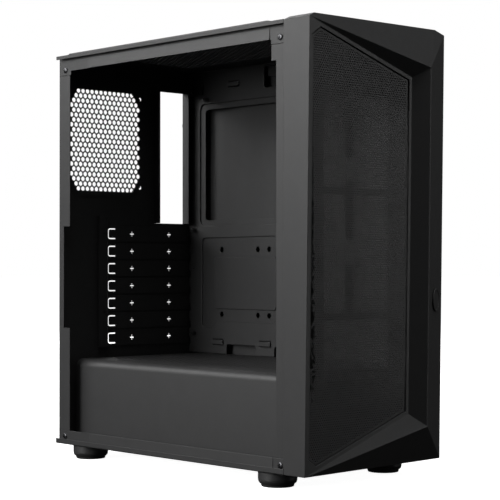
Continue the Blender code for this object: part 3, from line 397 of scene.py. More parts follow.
def mesh_of(bm, name):
    mesh = bpy.data.meshes.new(name)
    bm.to_mesh(mesh)
    bm.free()
    return mesh


def evaluated_mesh(obj, name):
    """The plain mesh of an object with its modifiers; the object is removed."""
    bpy.context.view_layer.update()
    graph = bpy.context.evaluated_depsgraph_get()
    mesh = bpy.data.meshes.new_from_object(obj.evaluated_get(graph))
    mesh.name = name
    data = obj.data
    bpy.data.objects.remove(obj)
    if data.users == 0 and isinstance(data, bpy.types.Mesh):
        bpy.data.meshes.remove(data)
    return mesh


def clean_copy(node):
    """A bmesh of a CAD node with its triangles merged into flat faces."""
    bm = bmesh.new()
    bm.from_mesh(NODES[node].data)
    bmesh.ops.remove_doubles(bm, verts=bm.verts, dist=0.01 * MM)
    bmesh.ops.dissolve_limit(
        bm,
        angle_limit=math.radians(0.5),
        use_dissolve_boundaries=False,
        verts=bm.verts,
        edges=bm.edges,
    )
    return bm


def sharp_edges(bm, angle=25.0):
    limit = math.radians(angle)
    return [e for e in bm.edges if e.is_manifold and e.calc_face_angle(0.0) > limit]


def round_edges(bm, edges, width, segments=2):
    bmesh.ops.bevel(
        bm,
        geom=edges,
        offset=width,
        offset_type="OFFSET",
        segments=segments,
        profile=0.5,
        affect="EDGES",
        clamp_overlap=True,
    )


def refined_mesh(node, edge, segments=2):
    """The CAD node's own shape with its edges rounded."""
    bm = clean_copy(node)
    round_edges(bm, sharp_edges(bm), edge, segments)
    mesh = mesh_of(bm, node)
    mesh.materials.clear()
    return mesh


def joined(meshes, name):
    """One mesh of several, each keeping its own materials."""
    objects = [place_object("part", mesh) for mesh in meshes]
    with bpy.context.temp_override(
        active_object=objects[0], selected_editable_objects=objects, selected_objects=objects,
    ):
        bpy.ops.object.join()
    mesh = objects[0].data
    mesh.name = name
    bpy.data.objects.remove(objects[0])
    return mesh


def with_finish(mesh, finish):
    mesh.materials.clear()
    mesh.materials.append(FINISHES[finish])
    return mesh


def box_mesh(low, high, edge=0.0, segments=2):
    bm = bmesh.new()
    size = [high[i] - low[i] for i in range(3)]
    middle = [(high[i] + low[i]) / 2 for i in range(3)]
    matrix = Matrix.Translation(middle) @ Matrix.Diagonal((*size, 1.0))
    bmesh.ops.create_cube(bm, size=1.0, matrix=matrix)
    if edge:
        round_edges(bm, list(bm.edges), edge, segments)
    return mesh_of(bm, "block")


def cut_mesh(mesh, boxes):
    """The mesh with box-shaped spaces cut out of it."""
    obj = place_object("cut", mesh)
    cutters = [place_object("cutter", box_mesh(low, high)) for low, high in boxes]
    for cutter in cutters:
        cut = obj.modifiers.new("space", "BOOLEAN")
        cut.operation = "DIFFERENCE"
        cut.solver = "EXACT"
        cut.use_self = True
        cut.object = cutter
    made = evaluated_mesh(obj, "cut")
    for cutter in cutters:
        bpy.data.objects.remove(cutter)
    return made


def turn_to(axis):
    return Vector((0, 0, 1)).rotation_difference(Vector(axis)).to_matrix().to_4x4()


def turned_mesh(profile, base, axis, steps=48):
    """A closed solid of revolution from (radius, height) points whose ends lie on the axis."""
    bm = bmesh.new()
    points = [bm.verts.new((radius, 0.0, height)) for radius, height in profile]
    edges = [bm.edges.new(pair) for pair in zip(points, points[1:])]
    bmesh.ops.spin(
        bm,
        geom=points + edges,
        cent=(0, 0, 0),
        axis=(0, 0, 1),
        angle=math.tau,
        steps=steps,
        use_duplicate=False,
    )
    bmesh.ops.remove_doubles(bm, verts=bm.verts, dist=0.005 * MM)
    bmesh.ops.dissolve_degenerate(bm, edges=bm.edges, dist=0.001 * MM)
    bmesh.ops.recalc_face_normals(bm, faces=bm.faces)
    bm.transform(Matrix.Translation(base) @ turn_to(axis))
    return mesh_of(bm, "turned")


def arc_points(centre, radius, start, end, steps):
    """Points round centre from start to end degrees."""
    turns = [math.radians(start + (end - start) * i / steps) for i in range(steps + 1)]
    return [(centre[0] + radius * math.cos(a), centre[1] + radius * math.sin(a)) for a in turns]


def rounded_outline(points, radius, steps=4):
    """A closed outline of (u, v) points with every corner rounded, by one radius or one each."""
    outline = []
    count = len(points)
    radii = radius if isinstance(radius, list) else [radius] * count
    for i, here in enumerate(points):
        corner = Vector(here)
        before = (Vector(points[i - 1]) - corner).normalized()
        after = (Vector(points[(i + 1) % count]) - corner).normalized()
        half = before.angle(after) / 2
        reach = min(
            radii[i] / math.tan(half),
            (Vector(points[i - 1]) - corner).length * 0.49,
            (Vector(points[(i + 1) % count]) - corner).length * 0.49,
        )
        start, end = corner + before * reach, corner + after * reach
        for step in range(steps + 1):
            t = step / steps
            bend = start * (1 - t) ** 2 + corner * 2 * t * (1 - t) + end * t**2
            outline.append(tuple(bend))
    return outline


def rectangle(u_low, v_low, u_high, v_high):
    return [(u_low, v_low), (u_high, v_low), (u_high, v_high), (u_low, v_high)]


def circle_outline(centre, radius, steps=20):
    return arc_points(centre, radius, 0, 360 * (steps - 1) / steps, steps - 1)


def plate_mesh(outline, holes, thickness, edge, place, resolution=1):
    """A flat plate in the (u, v) plane with holes and rounded edges, put in place by a matrix."""
    curve = bpy.data.curves.new("plate", "CURVE")
    curve.dimensions = "2D"
    curve.fill_mode = "BOTH"
    curve.bevel_depth = edge
    curve.bevel_resolution = resolution
    curve.offset = -edge
    curve.extrude = thickness / 2 - edge
    for points in (outline, *holes):
        spline = curve.splines.new("POLY")
        spline.points.add(len(points) - 1)
        for point, (u, v) in zip(spline.points, points):
            point.co = (u, v, 0, 1)
        spline.use_cyclic_u = True
    mesh = evaluated_mesh(place_object("plate", curve), "plate")
    bpy.data.curves.remove(curve)
    bm = bmesh.new()
    bm.from_mesh(mesh)
    bpy.data.meshes.remove(mesh)
    bmesh.ops.remove_doubles(bm, verts=bm.verts, dist=0.002 * MM)
    bmesh.ops.recalc_face_normals(bm, faces=bm.faces)
    bm.transform(place)
    return mesh_of(bm, "plate")


def plane_matrix(u_axis, v_axis, origin):
    """Turns flat (u, v, w) points into the frame, with w along u x v."""
    u, v = Vector(u_axis).normalized(), Vector(v_axis).normalized()
    w = u.cross(v)
    turn = Matrix((u, v, w)).transposed().to_4x4()
    return Matrix.Translation(origin) @ turn


def facing_outline(node, direction):
    """The plane of the node's largest face that faces a direction, and its (u, v) corners."""
    bm = clean_copy(node)
    towards = Vector(direction)
    faces = [face for face in bm.faces if face.normal.dot(towards) > 0.9]
    face = max(faces, key=lambda item: item.calc_area())
    corners = [vert.co.copy() for vert in face.verts]
    normal = face.normal.copy()
    bm.free()
    up = Vector((0, 0, 1)) - normal * normal.z
    place = plane_matrix(up.cross(normal), up, sum(corners, Vector()) / len(corners))
    back = place.inverted()
    return place, [tuple((back @ corner).xy) for corner in corners]


def split_by_height(mesh, height):
    """The faces of a mesh that lie below and above a height, as two meshes."""
    halves = []
    for above in (False, True):
        bm = bmesh.new()
        bm.from_mesh(mesh)
        other = [face for face in bm.faces if (face.calc_center_median().z > height) != above]
        bmesh.ops.delete(bm, geom=other, context="FACES")
        halves.append(mesh_of(bm, "half"))
    return halves


def grown(points, amount):
    """A convex (u, v) outline moved outward by amount."""
    middle = sum((Vector(p) for p in points), Vector((0, 0))) / len(points)
    moved = []
    count = len(points)
    for i, here in enumerate(points):
        corner = Vector(here)
        normals = []
        for other in (Vector(points[i - 1]), Vector(points[(i + 1) % count])):
            side = (other - corner).normalized()
            normal = Vector((side.y, -side.x))
            normals.append(normal if normal.dot(corner - middle) > 0 else -normal)
        shift = (normals[0] + normals[1]) / (1 + normals[0].dot(normals[1]))
        moved.append(tuple(corner + shift * amount))
    return moved


# ---------------------------------------------------------------- geometry nodes


def group_inputs(tree, wanted):
    """Adds named inputs (name, socket type, default) and returns their identifiers."""
    identifiers = {}
    for name, kind, default in wanted:
        socket = tree.interface.new_socket(name=name, in_out="INPUT", socket_type=kind)
        if default is not None:
            socket.default_value = default
        identifiers[name] = socket.identifier
    tree.interface.new_socket(name="Geometry", in_out="OUTPUT", socket_type="NodeSocketGeometry")
    return identifiers


def arithmetic(tree, operation, first, second=None):
    values = {0: first} if second is None else {0: first, 1: second}
    return add_node(tree, "ShaderNodeMath", values, operation=operation).outputs[0]


def punched_tree():
    """Fills a flat face with a staggered field of perforated cells, each a ring round its hole."""
    tree = bpy.data.node_groups.new("punched_sheet", "GeometryNodeTree")
    inputs = group_inputs(
        tree,
        [
            ("Sheet", "NodeSocketGeometry", None),
            ("Cell", "NodeSocketObject", None),
            ("Blank", "NodeSocketObject", None),
            ("Columns", "NodeSocketInt", 10),
            ("Rows", "NodeSocketInt", 10),
            ("Pitch", "NodeSocketFloat", 0.0065),
            ("Row Spacing", "NodeSocketFloat", 0.0056),
            ("Centre", "NodeSocketVector", None),
            ("Margin", "NodeSocketFloat", 0.003),
            ("Overrun", "NodeSocketFloat", 0.0),
            ("Finish", "NodeSocketMaterial", None),
        ],
    )
    given = tree.nodes.new("NodeGroupInput").outputs
    width = arithmetic(
        tree,
        "MULTIPLY",
        arithmetic(tree, "SUBTRACT", given["Columns"], 1.0),
        given["Pitch"],
    )
    rows = arithmetic(tree, "SUBTRACT", given["Rows"], 1.0)
    height = arithmetic(tree, "MULTIPLY", rows, given["Row Spacing"])
    grid = add_node(
        tree,
        "GeometryNodeMeshGrid",
        {"Size X": width, "Size Y": height, "Vertices X": given["Columns"], "Vertices Y": given["Rows"]},
    )
    place = tree.nodes.new("GeometryNodeInputPosition").outputs[0]
    along = add_node(tree, "ShaderNodeSeparateXYZ", {0: place}).outputs["Y"]
    below_top = arithmetic(tree, "SUBTRACT", arithmetic(tree, "MULTIPLY", height, 0.5), along)
    row = arithmetic(tree, "ROUND", arithmetic(tree, "DIVIDE", below_top, given["Row Spacing"]))
    odd = arithmetic(tree, "MODULO", row, 2.0)
    shift = arithmetic(tree, "MULTIPLY", arithmetic(tree, "MULTIPLY", odd, 0.5), given["Pitch"])
    offset = add_node(tree, "ShaderNodeCombineXYZ", {"X": shift})
    moved = add_node(
        tree, "GeometryNodeSetPosition", {"Geometry": grid.outputs["Mesh"], "Offset": offset.outputs[0]},
    )
    points = add_node(tree, "GeometryNodeMeshToPoints", {"Mesh": moved.outputs[0]})
    centred = add_node(
        tree, "GeometryNodeTransform", {"Geometry": points.outputs[0], "Translation": given["Centre"]},
    )
    surface = add_node(
        tree, "GeometryNodeProximity", {"Geometry": given["Sheet"]}, target_element="FACES",
    )
    rim = add_node(
        tree, "GeometryNodeProximity", {"Geometry": given["Sheet"]}, target_element="EDGES",
    )
    inside = add_node(
        tree, "FunctionNodeCompare", {"A": surface.outputs["Distance"], "B": 1e-6}, operation="LESS_THAN",
    )
    clear = add_node(
        tree,
        "FunctionNodeCompare",
        {"A": rim.outputs["Distance"], "B": given["Margin"]},
        operation="GREATER_THAN",
    )
    kept = add_node(
        tree, "FunctionNodeBooleanMath", {0: inside.outputs[0], 1: clear.outputs[0]}, operation="AND",
    )
    near = add_node(
        tree,
        "FunctionNodeCompare",
        {"A": surface.outputs["Distance"], "B": given["Overrun"]},
        operation="LESS_THAN",
    )
    plain = add_node(
        tree, "FunctionNodeBooleanMath", {0: near.outputs[0], 1: kept.outputs[0]}, operation="NIMPLY",
    )
    both = add_node(tree, "GeometryNodeJoinGeometry")
    for name, chosen in (("Cell", kept), ("Blank", plain)):
        cell = add_node(tree, "GeometryNodeObjectInfo", {"Object": given[name]})
        cells = add_node(
            tree,
            "GeometryNodeInstanceOnPoints",
            {
                "Points": centred.outputs[0],
                "Selection": chosen.outputs[0],
                "Instance": cell.outputs["Geometry"],
            },
        )
        tree.links.new(cells.outputs[0], both.inputs[0])
    real = add_node(tree, "GeometryNodeRealizeInstances", {"Geometry": both.outputs[0]})
    painted = add_node(
        tree, "GeometryNodeSetMaterial", {"Geometry": real.outputs[0], "Material": given["Finish"]},
    )
    add_node(tree, "NodeGroupOutput", {0: painted.outputs[0]})
    return tree, inputs


def scatter_tree():
    """Copies a piece to every point of a mesh, turned by the angle step times the point's index."""
    tree = bpy.data.node_groups.new("repeated_piece", "GeometryNodeTree")
    inputs = group_inputs(
        tree,
        [
            ("Places", "NodeSocketGeometry", None),
            ("Piece", "NodeSocketObject", None),
            ("Angle Step", "NodeSocketFloat", 0.0),
            ("Finish", "NodeSocketMaterial", None),
        ],
    )
    given = tree.nodes.new("NodeGroupInput").outputs
    piece = add_node(tree, "GeometryNodeObjectInfo", {"Object": given["Piece"]})
    index = tree.nodes.new("GeometryNodeInputIndex").outputs[0]
    turn = arithmetic(tree, "MULTIPLY", index, given["Angle Step"])
    angle = add_node(tree, "ShaderNodeCombineXYZ", {"Z": turn})
    turning = add_node(tree, "FunctionNodeEulerToRotation", {0: angle.outputs[0]})
    copies = add_node(
        tree,
        "GeometryNodeInstanceOnPoints",
        {"Points": given["Places"], "Instance": piece.outputs["Geometry"], "Rotation": turning.outputs[0]},
    )
    real = add_node(tree, "GeometryNodeRealizeInstances", {"Geometry": copies.outputs[0]})
    painted = add_node(
        tree, "GeometryNodeSetMaterial", {"Geometry": real.outputs[0], "Material": given["Finish"]},
    )
    add_node(tree, "NodeGroupOutput", {0: painted.outputs[0]})
    return tree, inputs


TREES = {}


def run_tree(mesh, maker, values):
    """The plain mesh that a tree makes from a starting mesh."""
    if maker not in TREES:
        TREES[maker] = maker()
    tree, inputs = TREES[maker]
    obj = place_object("worked", mesh)
    modifier = obj.modifiers.new("nodes", "NODES")
    modifier.node_group = tree
    for name, value in values.items():
        modifier[inputs[name]] = value
    made = evaluated_mesh(obj, "made")
    return made


def hexagon(pitch, row):
    corners = [(0.0, row * 2 / 3), (-pitch / 2, row / 3), (-pitch / 2, -row / 3)]
    return corners + [(-x, -y) for x, y in corners]


def blank_mesh(pitch, row, thickness):
    """A cell without a hole."""
    bm = bmesh.new()
    for height, flipped in ((thickness, False), (0.0, True)):
        loop = [bm.verts.new((x, y, height)) for x, y in hexagon(pitch, row)]
        bm.faces.new(reversed(loop) if flipped else loop)
    return mesh_of(bm, "blank")


def cell_mesh(pitch, row, radius, corners, thickness):
    """One cell of a punched field: a hexagon with a hole, open at its outer rim."""
    bm = bmesh.new()
    outer = hexagon(pitch, row)
    share = corners // 6
    rim = []
    for step in range(corners):
        angle = math.radians(90) + math.tau * step / corners
        rim.append((radius * math.cos(angle), radius * math.sin(angle)))
    sides = []
    for height, flipped in ((thickness, False), (0.0, True)):
        outside = [bm.verts.new((x, y, height)) for x, y in outer]
        inside = [bm.verts.new((x, y, height)) for x, y in rim]
        for step in range(6):
            following = (step + 1) % 6
            arc = [inside[(step * share + i) % corners] for i in range(share + 1)]
            loop = [outside[step], outside[following], *reversed(arc)]
            bm.faces.new(reversed(loop) if flipped else loop)
        sides.append(inside)
    for step in range(corners):
        following = (step + 1) % corners
        bm.faces.new((sides[0][step], sides[0][following], sides[1][following], sides[1][step]))
    return mesh_of(bm, "cell")


def punched_mesh(outline, matrix, thickness, pitch, radius, border, finish, corners=12, margin=None):
    """A perforated sheet, thickened along w.

    With a margin, plain cells fill the field out to the outline. Without one, a plain border
    plate covers the field's rim.
    """
    bm = bmesh.new()
    bm.faces.new([bm.verts.new((u, v, 0.0)) for u, v in outline])
    us = [u for u, v in outline]
    vs = [v for u, v in outline]
    row = pitch * math.sqrt(0.75)
    cell = place_object("cell", cell_mesh(pitch, row, radius, corners, thickness))
    blank = place_object("blank", blank_mesh(pitch, row, thickness))
    made = run_tree(
        mesh_of(bm, "outline"),
        punched_tree,
        {
            "Cell": cell,
            "Blank": blank,
            "Overrun": pitch * 0.45 if margin else 0.0,
            "Columns": int((max(us) - min(us)) / pitch) // 2 * 2 + 4,
            "Rows": int((max(vs) - min(vs)) / row) + 2,
            "Pitch": pitch,
            "Row Spacing": row,
            "Centre": ((max(us) + min(us)) / 2, (max(vs) + min(vs)) / 2, 0.0),
            "Margin": margin or pitch * 0.45,
            "Finish": FINISHES[finish],
        },
    )
    bpy.data.objects.remove(cell)
    bpy.data.objects.remove(blank)
    if margin:
        made.transform(matrix)
        return made
    lift = Matrix.Translation((0, 0, thickness / 2 + 0.03 * MM))
    frame_plate = plate_mesh(outline, [grown(outline, -border)], thickness, 0.12 * MM, lift)
    mesh = joined([made, with_finish(frame_plate, finish)], "punched")
    mesh.transform(matrix)
    return mesh


def repeated_mesh(places, piece, finish, matrix=None, angle_step=0.0):
    """Copies of a piece's mesh at flat or solid places, realised into one mesh."""
    bm = bmesh.new()
    for place in places:
        bm.verts.new(place)
    source = place_object("pattern", piece)
    made = run_tree(
        mesh_of(bm, "places"),
        scatter_tree,
        {"Piece": source, "Angle Step": angle_step, "Finish": FINISHES[finish]},
    )
    bpy.data.objects.remove(source)
    if matrix is not None:
        made.transform(matrix)
    return made


# ---------------------------------------------------------------- the pieces


class TowerOperator:
    """What every piece's operator shares"""

    bl_options = {"REGISTER", "UNDO"}


def refine_nodes(context, nodes, finish, edge=None):
    width = context.scene.tower_sheet.edge if edge is None else edge
    for node in nodes:
        finish_piece(f"{node}_finished", refined_mesh(node, width), finish, [node])


class TOWER_OT_front_panel(TowerOperator, bpy.types.Operator):
    """Make the faceted plastic front, with a softer radius on its foremost ridge"""

    bl_idname = "tower.front_panel"
    bl_label = "Front Panel"

    def execute(self, context):
        settings = context.scene.tower_panel
        bm = clean_copy("front_panel")
        weights = bm.edges.layers.float.new("bevel_weight_edge")
        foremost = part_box("front_panel")[0].y + RIDGE_ZONE
        edges = sharp_edges(bm, 6.0)
        ridge = [e for e in edges if all(v.co.y < foremost and v.co.x > 0 for v in e.verts)]
        rest = [e for e in edges if e not in ridge]
        for edge in ridge:
            edge[weights] = 1.0
        for edge in rest:
            edge[weights] = settings.edge / settings.ridge
        mesh = mesh_of(bm, "front_panel")
        mesh.materials.clear()
        obj = place_object("front_panel_form", mesh)
        bevel = obj.modifiers.new("soft", "BEVEL")
        bevel.width = settings.ridge
        bevel.segments = 3
        bevel.limit_method = "WEIGHT"
        bevel.use_clamp_overlap = False
        shaped = evaluated_mesh(obj, "front_panel")
        finish_piece("front_panel_moulding", shaped, "plastic", ["front_panel"])
        return {"FINISHED"}


class TOWER_OT_front_mesh(TowerOperator, bpy.types.Operator):
    """Punch the fine holes of the front mesh"""

    bl_idname = "tower.front_mesh"
    bl_label = "Front Mesh"

    def execute(self, context):
        vent = context.scene.tower_vent
        place, outline = facing_outline("front_mesh", (0, -1, 0))
        outline = grown(outline, -MESH_GROOVE)
        mesh = punched_mesh(
            outline,
            place @ Matrix.Translation((0, 0, -MESH_THICKNESS)),
            MESH_THICKNESS,
            vent.front_pitch,
            vent.front_radius,
            MESH_RIM,
            "mesh",
            corners=6,
        )
        for number, half in enumerate(split_by_height(mesh, place.translation.z)):
            finish_piece(
                f"front_mesh_{number + 1}",
                with_finish(half, "mesh"),
                "mesh",
                ["front_mesh"],
            )
        return {"FINISHED"}


class TOWER_OT_rear_vent(TowerOperator, bpy.types.Operator):
    """Punch the round holes of the rear fan vent"""

    bl_idname = "tower.rear_vent"
    bl_label = "Rear Vent"

    def execute(self, context):
        vent = context.scene.tower_vent
        place, outline = facing_outline("rear_vent_grille", (0, -1, 0))
        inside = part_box("rear_panel")[1].y - SHEET
        place.translation.y = inside - 0.05 * MM
        outline = grown(outline, VENT_OVERLAP)
        mesh = punched_mesh(
            outline,
            place,
            VENT_THICKNESS,
            vent.vent_pitch,
            vent.vent_radius,
            0,
            "steel",
            corners=18,
            margin=VENT_RIM,
        )
        finish_piece("rear_vent_punched", mesh, "steel", ["rear_vent_grille"])
        return {"FINISHED"}


class TOWER_OT_roof_vent(TowerOperator, bpy.types.Operator):
    """Punch the holes of the roof's fan field"""

    bl_idname = "tower.roof_vent"
    bl_label = "Roof Vent"

    def execute(self, context):
        vent = context.scene.tower_vent
        low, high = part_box("top_vent_grille")
        height = low.z - 1.0 * MM
        place = plane_matrix((1, 0, 0), (0, 1, 0), (0, 0, height))
        outline = grown(rectangle(low.x, low.y, high.x, high.y), VENT_OVERLAP)
        mesh = punched_mesh(
            outline,
            place,
            VENT_THICKNESS,
            vent.vent_pitch,
            vent.vent_radius * 0.85,
            5.0 * MM,
            "steel",
        )
        finish_piece("roof_vent_punched", mesh, "steel", ["top_vent_grille"])
        return {"FINISHED"}


class TOWER_OT_dust_filters(TowerOperator, bpy.types.Operator):
    """Weave the roof filter and the filter under the power supply, each in its frame"""

    bl_idname = "tower.dust_filters"
    bl_label = "Dust Filters"

    def execute(self, context):
        pitch = context.scene.tower_vent.filter_pitch
        for node, rim in (("top_filter", 7 * MM), ("psu_filter", 8 * MM)):
            low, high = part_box(node)
            outline = rounded_outline(rectangle(low.x, low.y, high.x, high.y), 4 * MM)
            window = rounded_outline(
                rectangle(low.x + rim, low.y + rim, high.x - rim, high.y - rim),
                3 * MM,
            )
            middle = (low.z + high.z) / 2
            place = plane_matrix((1, 0, 0), (0, 1, 0), (0, 0, middle))
            border = plate_mesh(outline, [window], high.z - low.z, 0.5 * MM, place)
            inner = rectangle(low.x + rim - MM, low.y + rim - MM, high.x - rim + MM, high.y - rim + MM)
            net_place = plane_matrix((1, 0, 0), (0, 1, 0), (0, 0, middle - 0.3 * MM))
            net = punched_mesh(
                inner, net_place, 0.5 * MM, pitch, pitch * 0.4, MM, "filter", corners=6,
            )
            bars = [
                box_mesh(
                    (low.x + rim - MM, y - 1.5 * MM, middle - 0.8 * MM),
                    (high.x - rim + MM, y + 1.5 * MM, middle + 0.8 * MM),
                    0.3 * MM,
                )
                for y in (low.y + (high.y - low.y) * share for share in (1 / 3, 2 / 3))
            ]
            plastic = [with_finish(mesh, "plastic") for mesh in (border, *bars)]
            mesh = joined([*plastic, net], node)
            finish_piece(f"{node}_woven", mesh, None, [node])
        return {"FINISHED"}


class TOWER_OT_shell_steel(TowerOperator, bpy.types.Operator):
    """Round the edges of the folded steel pieces and add their laps and lips"""

    bl_idname = "tower.shell_steel"
    bl_label = "Folded Steel"

    def execute(self, context):
        edge = context.scene.tower_sheet.edge
        refine_nodes(context, ["top_cover", "rear_panel", "front_frame"], "steel")
        refine_nodes(context, ["filter_rail_left", "filter_rail_right"], "steel")
        refine_nodes(context, ["right_side_panel"], "steel", edge * 1.6)
        self.make_base(edge)
        self.make_top_frame(edge)
        return {"FINISHED"}

    def make_base(self, edge):
        """The base with its upturned lips, and the lapped lower rail."""
        low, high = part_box("bottom_plate")
        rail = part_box("rear_panel")[0]
        lips = [
            box_mesh((low.x, low.y, low.z + 0.1 * MM), (low.x + SHEET, high.y, low.z + 5.6 * MM), edge),
            box_mesh((high.x - SHEET, low.y, low.z + 0.1 * MM), (high.x, high.y, low.z + MM), edge),
        ]
        lap = rail_lap(rail.x, low.y + 19 * MM, high.y - 57 * MM, low.z + 1.2 * MM, high.z, edge)
        mesh = joined([refined_mesh("bottom_plate", edge), *lips, lap], "bottom_plate")
        finish_piece("base_finished", mesh, "steel", ["bottom_plate"])

    def make_top_frame(self, edge):
        low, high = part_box("top_frame")
        rail_low = low.z + 4.6 * MM
        lap = rail_lap(low.x, low.y + 22 * MM, high.y - 52 * MM, rail_low, high.z - 4 * MM, edge)
        mesh = joined([refined_mesh("top_frame", edge), lap], "top_frame")
        finish_piece("top_frame_finished", mesh, "steel", ["top_frame"])


def rail_lap(x, y_low, y_high, z_low, z_high, edge):
    """The outer leaf of a side rail, which leans a little so that its lower edge stands proud."""
    mesh = box_mesh((x - 0.9 * MM, y_low, z_low), (x + 0.2 * MM, y_high, z_high), edge)
    for vert in mesh.vertices:
        if vert.co.x < x - 0.3 * MM:
            vert.co.x += 0.6 * MM * (vert.co.z - z_low) / (z_high - z_low)
    return mesh


class TOWER_OT_drive_bays(TowerOperator, bpy.types.Operator):
    """Finish the drive cage and its two sliding trays"""

    bl_idname = "tower.drive_bays"
    bl_label = "Drive Bays"

    def execute(self, context):
        refine_nodes(context, ["drive_cage"], "steel")
        for node in ("drive_tray_1", "drive_tray_2"):
            low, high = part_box(node)
            ribs = [
                box_mesh(
                    (low.x + 12 * MM, y - MM, low.z + 1.6 * MM),
                    (high.x - 12 * MM, y + MM, low.z + 3.2 * MM),
                    0.4 * MM,
                )
                for y in (low.y + (high.y - low.y) * share for share in (0.25, 0.5, 0.75))
            ]
            grip = box_mesh(
                (high.x - 3.2 * MM, low.y + 34 * MM, low.z + 3 * MM),
                (high.x - 1.2 * MM, high.y - 34 * MM, high.z - 1.5 * MM),
                0.7 * MM,
            )
            mesh = joined([refined_mesh(node, 0.4 * MM), *ribs, grip], node)
            finish_piece(f"{node}_moulded", mesh, "plastic", [node])
        return {"FINISHED"}


class TOWER_OT_slot_covers(TowerOperator, bpy.types.Operator):
    """Make the seven slot covers with their cross cuts and their bracket slits"""

    bl_idname = "tower.slot_covers"
    bl_label = "Slot Covers"

    def execute(self, context):
        for number in range(1, SLOT_COUNT + 1):
            node = f"slot_cover_{number}"
            low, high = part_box(node)
            middle = (low.z + high.z) / 2
            outline = rounded_outline(rectangle(low.x, low.z, high.x, high.z), 0.8 * MM, 2)
            holes = [bracket_slit(low.x + 0.9 * MM, middle)]
            for x in (low.x + 36.7 * MM, low.x + 93.9 * MM):
                holes.append(cross_outline((x, middle), 2.9 * MM, 0.5 * MM))
            place = plane_matrix((1, 0, 0), (0, 0, 1), (0, (low.y + high.y) / 2, 0))
            mesh = plate_mesh(outline, holes, high.y - low.y, 0.2 * MM, place)
            finish_piece(f"{node}_cut", mesh, "steel", [node])
        return {"FINISHED"}


def cross_outline(centre, reach, half):
    u, v = centre
    corners = [
        (half, half),
        (half, reach),
        (-half, reach),
        (-half, half),
        (-reach, half),
        (-reach, -half),
        (-half, -half),
        (-half, -reach),
        (half, -reach),
        (half, -half),
        (reach, -half),
        (reach, half),
    ]
    return [(u + du, v + dv) for du, dv in corners]


def bracket_slit(u_left, v_middle):
    """The slit round a cover's tongue: two arms joined at the left."""
    long, half, wide = 11.0 * MM, 6.3 * MM, 1.35 * MM
    outer = [
        (long, half),
        (0.0, half),
        (0.0, -half),
        (long, -half),
        (long, wide - half),
        (wide, wide - half),
        (wide, half - wide),
        (long, half - wide),
    ]
    radii = (0.6, 3.0, 3.0, 0.6, 0.6, 1.8, 1.8, 0.6)
    return rounded_outline([(u_left + u, v_middle + v) for u, v in outer], [r * MM for r in radii], 4)


class TOWER_OT_slot_ledge(TowerOperator, bpy.types.Operator):
    """Finish the ledge beside the slots, with its fold and the slits for the covers"""

    bl_idname = "tower.slot_ledge"
    bl_label = "Slot Ledge"

    def execute(self, context):
        low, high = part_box("slot_ledge")
        rib = box_mesh(
            (high.x - 3.0 * MM, low.y - 0.9 * MM, low.z + 2 * MM),
            (high.x - 1.8 * MM, low.y + 0.3 * MM, high.z - 2 * MM),
            0.3 * MM,
        )
        slits = []
        for number in range(1, SLOT_COUNT + 1):
            cover_low, cover_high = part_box(f"slot_cover_{number}")
            left = cover_low.x - 2.6 * MM
            slits.append(
                (
                    (left, low.y - 1, cover_low.z + 3.5 * MM),
                    (high.x + 1, high.y + 1, cover_high.z - 3.5 * MM),
                ),
            )
        mesh = cut_mesh(joined([refined_mesh("slot_ledge", 0.5 * MM, 3), rib], "slot_ledge"), slits)
        finish_piece("slot_ledge_folded", mesh, "steel", ["slot_ledge"])
        return {"FINISHED"}


